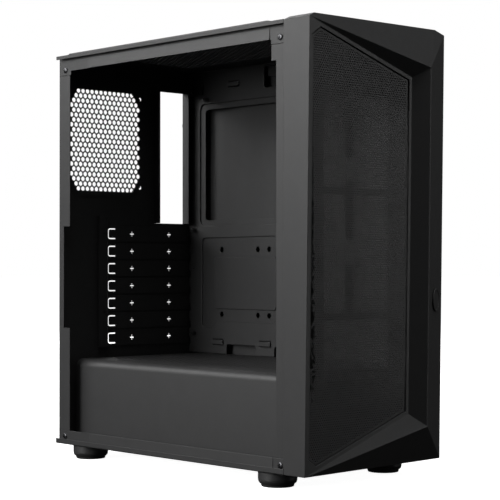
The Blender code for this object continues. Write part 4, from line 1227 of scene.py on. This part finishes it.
class TOWER_OT_board_tray(TowerOperator, bpy.types.Operator):
    """Stamp the board tray, with its cut-outs, recesses and cable hooks"""

    bl_idname = "tower.board_tray"
    bl_label = "Board Tray"

    def execute(self, context):
        depth = context.scene.tower_sheet.emboss
        low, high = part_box("motherboard_tray")
        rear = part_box("rear_panel")[1].y - SHEET
        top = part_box("standoff_1")
        board_top = (top[0].z + top[1].z) / 2
        outline = self.tray_outline(low, high, rear)
        window = rounded_outline(
            rectangle(rear - 167.5 * MM, board_top - 146 * MM, rear - 29.5 * MM, board_top - 12.2 * MM),
            5 * MM,
        )
        around = rounded_outline(
            rectangle(rear - 176 * MM, board_top - 152.3 * MM, rear - 21 * MM, board_top - 5.5 * MM), 9 * MM,
        )
        through = self.cable_cuts(rear, board_top)
        hook_places = [
            (low.x, rear - y * MM, board_top + z * MM)
            for y, z in ((80.7, 15.0), (52.8, -291.8), (134.0, -291.6))
        ]
        for x, y, z in hook_places:
            for side in (-3.6, 3.6):
                middle = z + side * MM
                through.append(rectangle(y - 10 * MM, middle - 0.9 * MM, y + 9 * MM, middle + 0.9 * MM))
        stamped = self.stamped_outline(rear, board_top)
        inner = rounded_outline(
            rectangle(rear - 153 * MM, board_top - 252.3 * MM, rear - 46.5 * MM, board_top - 190.2 * MM),
            5 * MM,
        )
        drive_holes = [
            circle_outline((rear - y * MM, board_top - z * MM), 3.2 * MM)
            for z in (181.6, 258.7)
            for y in (58.8, 121.2, 140.2)
        ]
        matrix = plane_matrix((0, -1, 0), (0, 0, 1), (0, 0, 0))

        def at_depth(start, thick):
            """Puts a plate whose front face is start behind the tray's own face."""
            return Matrix.Translation((low.x + start + thick / 2, 0, 0)) @ matrix

        def flip(points):
            return [(-u, v) for u, v in points]

        front_holes = [around, stamped, *through]
        front = plate_mesh(
            flip(outline),
            [flip(h) for h in front_holes],
            depth,
            0.8 * MM,
            at_depth(0, depth),
            3,
        )
        back_outline = [
            (min(max(u, low.y + 1.2 * MM), high.y - 0.4 * MM), min(max(v, low.z + 0.4 * MM), high.z - MM))
            for u, v in outline
        ]
        back_holes = [window, *drive_holes, *[grown_hole(h, -0.15 * MM) for h in through]]
        back = plate_mesh(
            flip(back_outline),
            [flip(h) for h in back_holes],
            0.8 * MM,
            0.15 * MM,
            at_depth(depth - 0.1 * MM, 0.8 * MM),
        )
        panel = plate_mesh(flip(inner), [], depth, 0.8 * MM, at_depth(0.1 * MM, depth), 3)
        hooks = [cable_hook(place) for place in hook_places]
        mesh = joined([front, back, panel, *hooks], "motherboard_tray")
        finish_piece("board_tray_stamped", mesh, "steel", ["motherboard_tray"])
        return {"FINISHED"}

    def tray_outline(self, low, high, rear):
        """The tray's rim: slits for cover tongues at the rear, cable cut-outs at the bottom."""
        right = high.y
        points = [(low.y, low.z), (low.y, high.z), (right, high.z)]
        edge_cuts = [HIGH_EDGE_SLIT, LOW_EDGE_SLIT]
        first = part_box("slot_cover_1")
        slot = (first[0].z + first[1].z) / 2
        for number in range(SLOT_COUNT):
            fall = number * SLOT_PITCH
            edge_cuts.append((slot - 2 * MM - fall, slot - 12 * MM - fall))
        for top, bottom in sorted(edge_cuts, reverse=True):
            points += [
                (right, top),
                (right - EDGE_SLIT_DEPTH, top - EDGE_SLIT_TAPER),
                (right - EDGE_SLIT_DEPTH, bottom + EDGE_SLIT_TAPER),
                (right, bottom),
            ]
        points.append((right, low.z))
        for start, width in ((68.3, 50.5), (150.1, 50.0)):
            left_end = rear - (start + width) * MM
            right_end = rear - start * MM
            top = low.z + 11.5 * MM
            notch = [(right_end, low.z), (right_end, top), (left_end, top), (left_end, low.z)]
            points += notch_with_soft_corners(notch, 3 * MM)
        return points

    def cable_cuts(self, rear, board_top):
        cuts = [
            rectangle(rear - 28 * MM, board_top + 6.5 * MM, rear - 5 * MM, board_top + 31 * MM),
            rectangle(rear - 173.5 * MM, board_top + 6.5 * MM, rear - 133.5 * MM, board_top + 31 * MM),
        ]
        for number in range(3):
            top = board_top - 18.3 * MM - number * 90 * MM
            cuts.append(rectangle(rear - 290 * MM, top - 64 * MM, rear - 262 * MM, top))
        rounded = [rounded_outline(cut, 4 * MM) for cut in cuts]
        rounded.append(circle_outline((rear - 8 * MM, board_top - 203.8 * MM), 1.3 * MM, 10))
        return rounded

    def stamped_outline(self, rear, board_top):
        corners = [
            (-153.5, -166.5),
            (-25.0, -167.4),
            (-25.0, -275.0),
            (-45.5, -274.2),
            (-53.5, -267.0),
            (-153.5, -267.2),
        ]
        points = [(rear + y * MM, board_top + z * MM) for y, z in corners]
        return rounded_outline(points, 5 * MM)


def grown_hole(points, amount):
    """A roughly convex hole moved outward from its own middle."""
    middle = sum((Vector(p) for p in points), Vector((0, 0))) / len(points)
    return [tuple(Vector(p) + (Vector(p) - middle).normalized() * amount) for p in points]


def notch_with_soft_corners(notch, radius):
    """A bottom notch (right, up, left, down) whose two upper corners are round."""
    (right, base), (_, top), (left, _), _ = notch
    upper = arc_points((right - radius, top - radius), radius, 0, 90, 4)
    upper += arc_points((left + radius, top - radius), radius, 90, 180, 4)
    return [(right, base), *upper, (left, base)]


def cable_hook(place):
    """A lanced bridge for a cable tie: two feet and a raised bar, over a dark slot."""
    x, y, z = place
    bar = box_mesh(
        (x - 2.4 * MM, y - 10 * MM, z - 2.6 * MM),
        (x - 1.5 * MM, y + 8 * MM, z + 2.6 * MM),
        0.3 * MM,
    )
    foot = box_mesh(
        (x - 2.2 * MM, y + 6.5 * MM, z - 2.6 * MM),
        (x + 0.4 * MM, y + 9 * MM, z + 2.6 * MM),
        0.5 * MM,
    )
    end = box_mesh(
        (x - 2.2 * MM, y - 11 * MM, z - 2.6 * MM),
        (x + 0.4 * MM, y - 9 * MM, z + 2.6 * MM),
        0.5 * MM,
    )
    lips = [
        box_mesh(
            (x - 0.35 * MM, y - 10 * MM, z + side * 4.2 * MM - 0.5 * MM),
            (x + 0.3 * MM, y + 9 * MM, z + side * 4.2 * MM + 0.5 * MM),
            0.2 * MM,
        )
        for side in (-1, 1)
    ]
    return joined([bar, foot, end, *lips], "hook")


class TOWER_OT_shroud(TowerOperator, bpy.types.Operator):
    """Fold the power supply cover and punch its top"""

    bl_idname = "tower.shroud"
    bl_label = "Supply Cover"

    def execute(self, context):
        low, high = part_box("psu_shroud")
        bend = 9 * MM
        profile = [(low.x, low.z)] + arc_points((low.x + bend, high.z - bend), bend, 180, 90, 8)
        profile.append((low.x + bend + 14 * MM, high.z))
        bm = bmesh.new()
        row = [bm.verts.new((x, low.y, z)) for x, z in profile]
        edges = [bm.edges.new(pair) for pair in zip(row, row[1:])]
        new = bmesh.ops.extrude_edge_only(bm, edges=edges)["geom"]
        moved = [v for v in new if isinstance(v, bmesh.types.BMVert)]
        bmesh.ops.translate(bm, verts=moved, vec=(0, high.y - low.y, 0))
        bmesh.ops.recalc_face_normals(bm, faces=bm.faces)
        outward = next(iter(bm.faces)).normal.x
        if outward > 0:
            bmesh.ops.reverse_faces(bm, faces=bm.faces)
        obj = place_object("fold", mesh_of(bm, "fold"))
        wall = obj.modifiers.new("wall", "SOLIDIFY")
        wall.thickness = SHEET
        wall.offset = -1.0
        fold = evaluated_mesh(obj, "fold")
        fold.shade_smooth()
        fold.set_sharp_from_angle(angle=math.radians(30))
        top = rectangle(low.x + bend + 13.9 * MM, low.y, high.x, high.y - 6 * MM)
        place = plane_matrix((1, 0, 0), (0, 1, 0), (0, 0, high.z - SHEET))
        vent = context.scene.tower_vent
        sheet = punched_mesh(
            top,
            place,
            SHEET,
            vent.vent_pitch * 1.2,
            1.5 * MM,
            12 * MM,
            "steel",
            corners=10,
        )
        mesh = joined([with_finish(fold, "steel"), sheet], "psu_shroud")
        finish_piece("shroud_folded", mesh, None, ["psu_shroud"])
        return {"FINISHED"}


class TOWER_OT_fasteners(TowerOperator, bpy.types.Operator):
    """Repeat the corner screws and the stand-offs, and knurl the two thumbscrews"""

    bl_idname = "tower.fasteners"
    bl_label = "Screws and Stand-offs"

    def execute(self, context):
        self.corner_screws()
        self.standoffs()
        for node in ("thumbscrew_lower", "thumbscrew_upper"):
            self.thumbscrew(node)
        return {"FINISHED"}

    def corner_screws(self):
        nodes = [f"corner_screw_{place}" for place in ("rear_top", "rear_low", "front_top", "front_low")]
        places = []
        for node in nodes:
            low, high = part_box(node)
            places.append((high.x, (low.y + high.y) / 2, (low.z + high.z) / 2))
        low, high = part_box(nodes[0])
        screw = screw_head((high.y - low.y) / 2, high.x - low.x)
        screw.transform(turn_to((-1, 0, 0)))
        mesh = repeated_mesh(places, screw, "screw")
        finish_piece("corner_screws", mesh, None, nodes)

    def standoffs(self):
        nodes = [f"standoff_{number}" for number in range(1, 10)]
        places = []
        for node in nodes:
            low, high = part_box(node)
            places.append((low.x, (low.y + high.y) / 2, (low.z + high.z) / 2))
        low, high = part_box(nodes[0])
        radius = (high.y - low.y) / 2
        length = high.x - low.x
        bore = 1.5 * MM
        profile = [
            (0, -2.5 * MM),
            (bore - 0.2 * MM, -2.5 * MM),
            (bore, 0),
            (radius - 0.6 * MM, 0),
            (radius, -0.5 * MM),
            (radius, -6.0 * MM),
            (radius - 0.4 * MM, -6.4 * MM),
            (1.55 * MM, -6.5 * MM),
            (1.55 * MM, 0.2 * MM - length),
            (0, -length),
        ]
        post = turned_mesh(profile, (0, 0, 0), (0, 0, 1), steps=6)
        post.transform(turn_to((-1, 0, 0)))
        mesh = repeated_mesh(places, post, "standoff")
        finish_piece("standoffs", mesh, None, nodes)

    def thumbscrew(self, node):
        """A knob with a ring of ribs, on its short shank."""
        low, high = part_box(node)
        centre = Vector(((low.x + high.x) / 2, low.y, (low.z + high.z) / 2))
        length = high.y - low.y
        radius = (high.x - low.x) / 2
        knob = 7.3 * MM
        profile = [
            (0, length - 1.2 * MM),
            (2.2 * MM, length - 1.2 * MM),
            (2.6 * MM, length),
            (radius - 1.2 * MM, length),
            (radius - 0.5 * MM, length - 0.6 * MM),
            (radius - 0.5 * MM, length - knob + 0.5 * MM),
            (radius - 1.0 * MM, length - knob),
            (1.7 * MM, length - knob),
            (1.7 * MM, 0.4 * MM),
            (1.3 * MM, 0),
            (0, 0),
        ]
        body = turned_mesh(profile, (0, 0, 0), (0, 0, 1))
        body.shade_smooth()
        body.set_sharp_from_angle(angle=math.radians(35))
        count = 36
        rib = box_mesh(
            (radius - 0.9 * MM, -0.28 * MM, length - knob + 0.9 * MM),
            (radius, 0.28 * MM, length - 0.9 * MM),
            0.2 * MM,
            1,
        )
        ribs = repeated_mesh([(0, 0, 0)] * count, rib, "screw", angle_step=math.tau / count)
        mesh = joined([with_finish(body, "screw"), ribs], node)
        mesh.transform(Matrix.Translation(centre) @ turn_to((0, 1, 0)))
        finish_piece(f"{node}_knurled", mesh, None, [node])


def screw_head(radius, height):
    """A pan head with a cross recess, its seat at z = 0."""
    profile = [(0, height)]
    profile += [(radius * math.sin(a), height * (0.35 + 0.65 * math.cos(a))) for a in (0.4, 0.8, 1.2, 1.45)]
    profile += [(radius, 0.15 * height), (radius * 0.97, 0), (0, 0)]
    head = place_object("head", turned_mesh(profile, (0, 0, 0), (0, 0, 1), steps=24))
    arm = radius * 0.62
    thin = radius * 0.13
    cutters = []
    for half_x, half_y in ((arm, thin), (thin, arm)):
        mesh = box_mesh((-half_x, -half_y, height * 0.35), (half_x, half_y, height * 2))
        cutter = place_object("cutter", mesh)
        cutters.append(cutter)
        cut = head.modifiers.new("recess", "BOOLEAN")
        cut.operation = "DIFFERENCE"
        cut.solver = "EXACT"
        cut.object = cutter
    made = evaluated_mesh(head, "head")
    for cutter in cutters:
        bpy.data.objects.remove(cutter)
    made.shade_smooth()
    made.set_sharp_from_angle(angle=math.radians(30))
    return made


class TOWER_OT_feet(TowerOperator, bpy.types.Operator):
    """Turn the four feet and their ringed rubber pads"""

    bl_idname = "tower.feet"
    bl_label = "Feet"

    def execute(self, context):
        for corner in ("front_left", "front_right", "rear_left", "rear_right"):
            self.foot(f"foot_{corner}")
            self.pad(f"foot_pad_{corner}")
        return {"FINISHED"}

    def foot(self, node):
        low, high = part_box(node)
        base = ((low.x + high.x) / 2, (low.y + high.y) / 2, 0)
        radius = (high.x - low.x) / 2
        top, bottom = high.z, low.z
        profile = [
            (0, top),
            (radius - 0.6 * MM, top),
            (radius, top - 0.6 * MM),
            (radius, bottom + 4.4 * MM),
            (radius - 0.5 * MM, bottom + 4.1 * MM),
            (radius - 0.5 * MM, bottom + 3.6 * MM),
            (radius - 0.1 * MM, bottom + 3.3 * MM),
            (radius - 0.9 * MM, bottom + 1.2 * MM),
            (radius - 2.2 * MM, bottom),
            (0, bottom),
        ]
        mesh = turned_mesh(profile, base, (0, 0, 1), steps=72)
        finish_piece(f"{node}_turned", mesh, "plastic", [node], smooth=True)

    def pad(self, node):
        low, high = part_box(node)
        base = ((low.x + high.x) / 2, (low.y + high.y) / 2, low.z)
        radius = (high.x - low.x) / 2
        profile = [(0, high.z - low.z), (radius, high.z - low.z), (radius - 0.3 * MM, 0.5 * MM)]
        rings = 5
        ring_pitch = (radius - 2 * MM) / rings
        for ring in range(rings):
            outer = radius - 0.8 * MM - ring * ring_pitch
            profile += [(outer, 0), (outer - 1.8 * MM, 0), (outer - 2.1 * MM, 0.4 * MM)]
        profile.append((0, 0.4 * MM))
        mesh = turned_mesh(profile, base, (0, 0, 1), steps=60)
        finish_piece(f"{node}_ringed", mesh, "rubber", [node], smooth=True)


class TOWER_OT_badge(TowerOperator, bpy.types.Operator):
    """Turn the plain round badge with its raised rim"""

    bl_idname = "tower.badge"
    bl_label = "Badge"

    def execute(self, context):
        bm = clean_copy("badge")
        face = max(bm.faces, key=lambda item: item.calc_area() * (item.normal.y < 0))
        normal = face.normal.copy()
        centre = face.calc_center_median()
        bm.free()
        radius, thick = 12 * MM, 0.9 * MM
        profile = [
            (0, -0.45 * MM),
            (radius - 2.4 * MM, -0.45 * MM),
            (radius - 1.9 * MM, 0),
            (radius - 0.4 * MM, 0),
            (radius, -0.4 * MM),
            (radius, -thick),
            (0, -thick),
        ]
        mesh = turned_mesh(profile, centre, normal, steps=72)
        finish_piece("badge_turned", mesh, "plastic", ["badge"], smooth=True)
        return {"FINISHED"}


class TOWER_OT_sockets(TowerOperator, bpy.types.Operator):
    """Finish the socket strip with its sockets, buttons and circuit board"""

    bl_idname = "tower.sockets"
    bl_label = "Sockets and Buttons"

    def execute(self, context):
        finish_piece(
            "io_strip_moulded",
            refined_mesh("io_strip", 0.35 * MM),
            "plastic",
            ["io_strip"],
        )
        for node in ("usb_port_1", "usb_port_2"):
            self.usb_port(node)
        self.jack()
        for node in ("power_button", "reset_button"):
            self.button(node)
        self.board()
        return {"FINISHED"}

    def usb_port(self, node):
        """A steel shell with its tongue and four contacts."""
        low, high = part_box(node)
        shell = with_finish(refined_mesh(node, 0.12 * MM), "connector")
        middle = (low.y + high.y) / 2
        tongue = box_mesh(
            (low.x + 1.5 * MM, middle + 0.2 * MM, low.z + 0.7 * MM),
            (high.x - 1.5 * MM, middle + 2.0 * MM, high.z - 1.2 * MM),
            0.2 * MM,
        )
        contacts = []
        for step in range(4):
            x = low.x + (high.x - low.x) * (step + 1) / 5
            contacts.append(
                with_finish(
                    box_mesh(
                        (x - 0.5 * MM, middle - 0.05 * MM, low.z + 2 * MM),
                        (x + 0.5 * MM, middle + 0.25 * MM, high.z - 2 * MM),
                        0.05 * MM,
                    ),
                    "contact",
                ),
            )
        mesh = joined([shell, with_finish(tongue, "insulator"), *contacts], node)
        finish_piece(f"{node}_plated", mesh, None, [node])

    def jack(self):
        low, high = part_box("audio_jack")
        base = ((low.x + high.x) / 2, (low.y + high.y) / 2, 0)
        radius, bore = (high.x - low.x) / 2, 1.85 * MM
        profile = [
            (0, low.z + 2 * MM),
            (bore, low.z + 2 * MM),
            (bore, high.z - 0.5 * MM),
            (bore + 0.5 * MM, high.z),
            (radius - 0.4 * MM, high.z),
            (radius, high.z - 0.4 * MM),
            (radius, low.z),
            (0, low.z),
        ]
        body = with_finish(turned_mesh(profile, base, (0, 0, 1)), "insulator")
        ring_profile = [
            (bore + 0.55 * MM, high.z - 0.02 * MM),
            (bore + 0.75 * MM, high.z + 0.02 * MM),
            (bore + 1.35 * MM, high.z + 0.02 * MM),
            (bore + 1.55 * MM, high.z - 0.02 * MM),
            (bore + 0.55 * MM, high.z - 0.02 * MM),
        ]
        ring = with_finish(turned_mesh(ring_profile, base, (0, 0, 1)), "connector")
        mesh = joined([body, ring], "audio_jack")
        finish_piece("audio_jack_turned", mesh, None, ["audio_jack"], smooth=True)

    def button(self, node):
        low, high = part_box(node)
        base = ((low.x + high.x) / 2, (low.y + high.y) / 2, 0)
        radius = (high.x - low.x) / 2
        stem = radius * 0.45
        profile = [
            (0, high.z - 0.35 * MM),
            (radius * 0.5, high.z - 0.25 * MM),
            (radius * 0.85, high.z - 0.02 * MM),
            (radius * 0.92, high.z),
            (radius, high.z - 0.5 * MM),
            (radius, high.z - 6.2 * MM),
            (stem, high.z - 6.2 * MM),
            (stem, low.z),
            (0, low.z),
        ]
        mesh = turned_mesh(profile, base, (0, 0, 1), steps=64)
        finish_piece(f"{node}_dished", mesh, "plastic", [node], smooth=True)

    def board(self):
        low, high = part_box("io_board")
        middle = (low.y + high.y) / 2
        places = [(low.x + (high.x - low.x) * (n + 0.5) / 9, middle - 6 * MM, low.z) for n in range(9)]
        chip = box_mesh((-1.6 * MM, -0.8 * MM, -0.9 * MM), (1.6 * MM, 0.8 * MM, 0.1 * MM), 0.15 * MM)
        chips = repeated_mesh(places, chip, "insulator")
        plate = with_finish(refined_mesh("io_board", 0.2 * MM), "board")
        finish_piece(
            "io_board_fitted",
            joined([plate, chips], "io_board"),
            None,
            ["io_board"],
        )


# ---------------------------------------------------------------- the stage


def area_light(name, place, target, size, energy, scale):
    light = bpy.data.lights.new(name, "AREA")
    light.shape = "RECTANGLE"
    light.size, light.size_y = size
    light.energy = energy * scale
    obj = bpy.data.objects.new(name, light)
    obj.location = place
    obj.rotation_euler = (Vector(target) - Vector(place)).to_track_quat("-Z", "Y").to_euler()
    bpy.context.scene.collection.objects.link(obj)
    return obj


class TOWER_OT_stage(TowerOperator, bpy.types.Operator):
    """Set the floor, the lights and the camera"""

    bl_idname = "tower.stage"
    bl_label = "Stage"

    def execute(self, context):
        settings = context.scene.tower_stage
        self.floor()
        self.world(context.scene)
        middle = Vector((0, 0, 0.24))
        scale = settings.brightness
        area_light("rear_left_softbox", (-1.5, 1.4, 1.25), middle, (1.6, 0.9), 26, scale)
        area_light("left_key", (-2.3, 0.45, 0.85), middle, (0.9, 1.4), 35, scale)
        area_light("overhead_softbox", (-0.2, -0.5, 2.3), middle, (2.0, 1.2), 24, scale)
        area_light("right_strip", (1.5, -1.6, 0.6), middle, (0.3, 1.6), 5, scale)
        area_light("front_fill", (-1.0, -2.4, 1.0), middle, (1.4, 1.0), 1.0, scale)
        area_light("rear_right_fill", (1.9, 2.3, 1.3), middle, (1.6, 1.4), 32, scale)
        camera = bpy.data.cameras.new("camera")
        camera.lens = settings.lens
        camera.sensor_width = 36.0
        camera.clip_start = 0.05
        camera.clip_end = 100.0
        eye = bpy.data.objects.new("camera", camera)
        heading, tilt = settings.heading, settings.tilt
        ahead = Vector(
            (math.sin(heading) * math.cos(tilt), math.cos(heading) * math.cos(tilt), math.sin(tilt)),
        )
        eye.location = settings.eye
        eye.rotation_mode = "QUATERNION"
        eye.rotation_quaternion = ahead.to_track_quat("-Z", "Y")
        context.scene.collection.objects.link(eye)
        context.scene.camera = eye
        return {"FINISHED"}

    def floor(self):
        """A wide pale floor that glows faintly, so that it stays even, and doesn't light the case."""
        mesh = box_mesh((-20, -20, -0.02), (20, 20, -0.0002))
        material, tree, shader, place = new_finish("studio_floor")
        tone = noise(tree, place, 3.0)
        tree.links.new(
            blend_colours(tree, tone, (0.80, 0.80, 0.80), (0.84, 0.84, 0.84)),
            shader.inputs["Base Color"],
        )
        shader.inputs["Roughness"].default_value = 0.9
        shader.inputs["Specular IOR Level"].default_value = 0.1
        shader.inputs["Emission Color"].default_value = (1.0, 1.0, 1.0, 1.0)
        shader.inputs["Emission Strength"].default_value = 0.97
        mesh.materials.append(material)
        floor = place_object("studio_floor", mesh)
        floor.visible_diffuse = False
        floor.visible_glossy = False

    def world(self, scene):
        """White behind everything; the light that it gives comes mostly from above."""
        world = bpy.data.worlds.new("studio")
        world.use_nodes = True
        tree = world.node_tree
        background = tree.nodes["Background"]
        direction = tree.nodes.new("ShaderNodeTexCoord").outputs["Generated"]
        height = add_node(tree, "ShaderNodeSeparateXYZ", {0: direction}).outputs["Z"]
        sky = add_node(
            tree,
            "ShaderNodeMapRange",
            {"Value": height, "From Min": -0.25, "From Max": 0.6, "To Min": 0.01, "To Max": 0.10},
        )
        shown = add_node(tree, "ShaderNodeLightPath").outputs["Is Camera Ray"]
        level = add_node(tree, "ShaderNodeMix", {"Factor": shown, 2: sky.outputs["Result"], 3: 1.0})
        tree.links.new(level.outputs[0], background.inputs["Strength"])
        background.inputs["Color"].default_value = (1.0, 1.0, 1.0, 1.0)
        scene.world = world
        scene.view_settings.view_transform = "Standard"


class TOWER_PT_panel(bpy.types.Panel):
    """The case's pieces and settings in the sidebar"""

    bl_idname = "TOWER_PT_panel"
    bl_label = "Open Tower Case"
    bl_space_type = "VIEW_3D"
    bl_region_type = "UI"
    bl_category = "Tower"

    def draw(self, context):
        for name in SETTINGS:
            box = self.layout.box()
            group = getattr(context.scene, name)
            for key in group.__annotations__:
                box.prop(group, key)
        for operator in OPERATORS:
            self.layout.operator(operator.bl_idname)


OPERATORS = (
    TOWER_OT_front_panel,
    TOWER_OT_front_mesh,
    TOWER_OT_badge,
    TOWER_OT_shell_steel,
    TOWER_OT_rear_vent,
    TOWER_OT_roof_vent,
    TOWER_OT_slot_covers,
    TOWER_OT_slot_ledge,
    TOWER_OT_board_tray,
    TOWER_OT_shroud,
    TOWER_OT_drive_bays,
    TOWER_OT_dust_filters,
    TOWER_OT_sockets,
    TOWER_OT_fasteners,
    TOWER_OT_feet,
    TOWER_OT_stage,
)


def register():
    for cls in (*SETTINGS.values(), *OPERATORS, TOWER_PT_panel):
        bpy.utils.register_class(cls)
    for name, cls in SETTINGS.items():
        setattr(bpy.types.Scene, name, bpy.props.PointerProperty(type=cls))


def unregister():
    for name in SETTINGS:
        delattr(bpy.types.Scene, name)
    for cls in (TOWER_PT_panel, *reversed(OPERATORS), *SETTINGS.values()):
        bpy.utils.unregister_class(cls)


def main():
    register()
    make_finishes(bpy.context.scene)
    for operator in OPERATORS:
        name = operator.bl_idname.split(".")[1]
        getattr(bpy.ops.tower, name)()


if __name__ == "__main__":
    main()
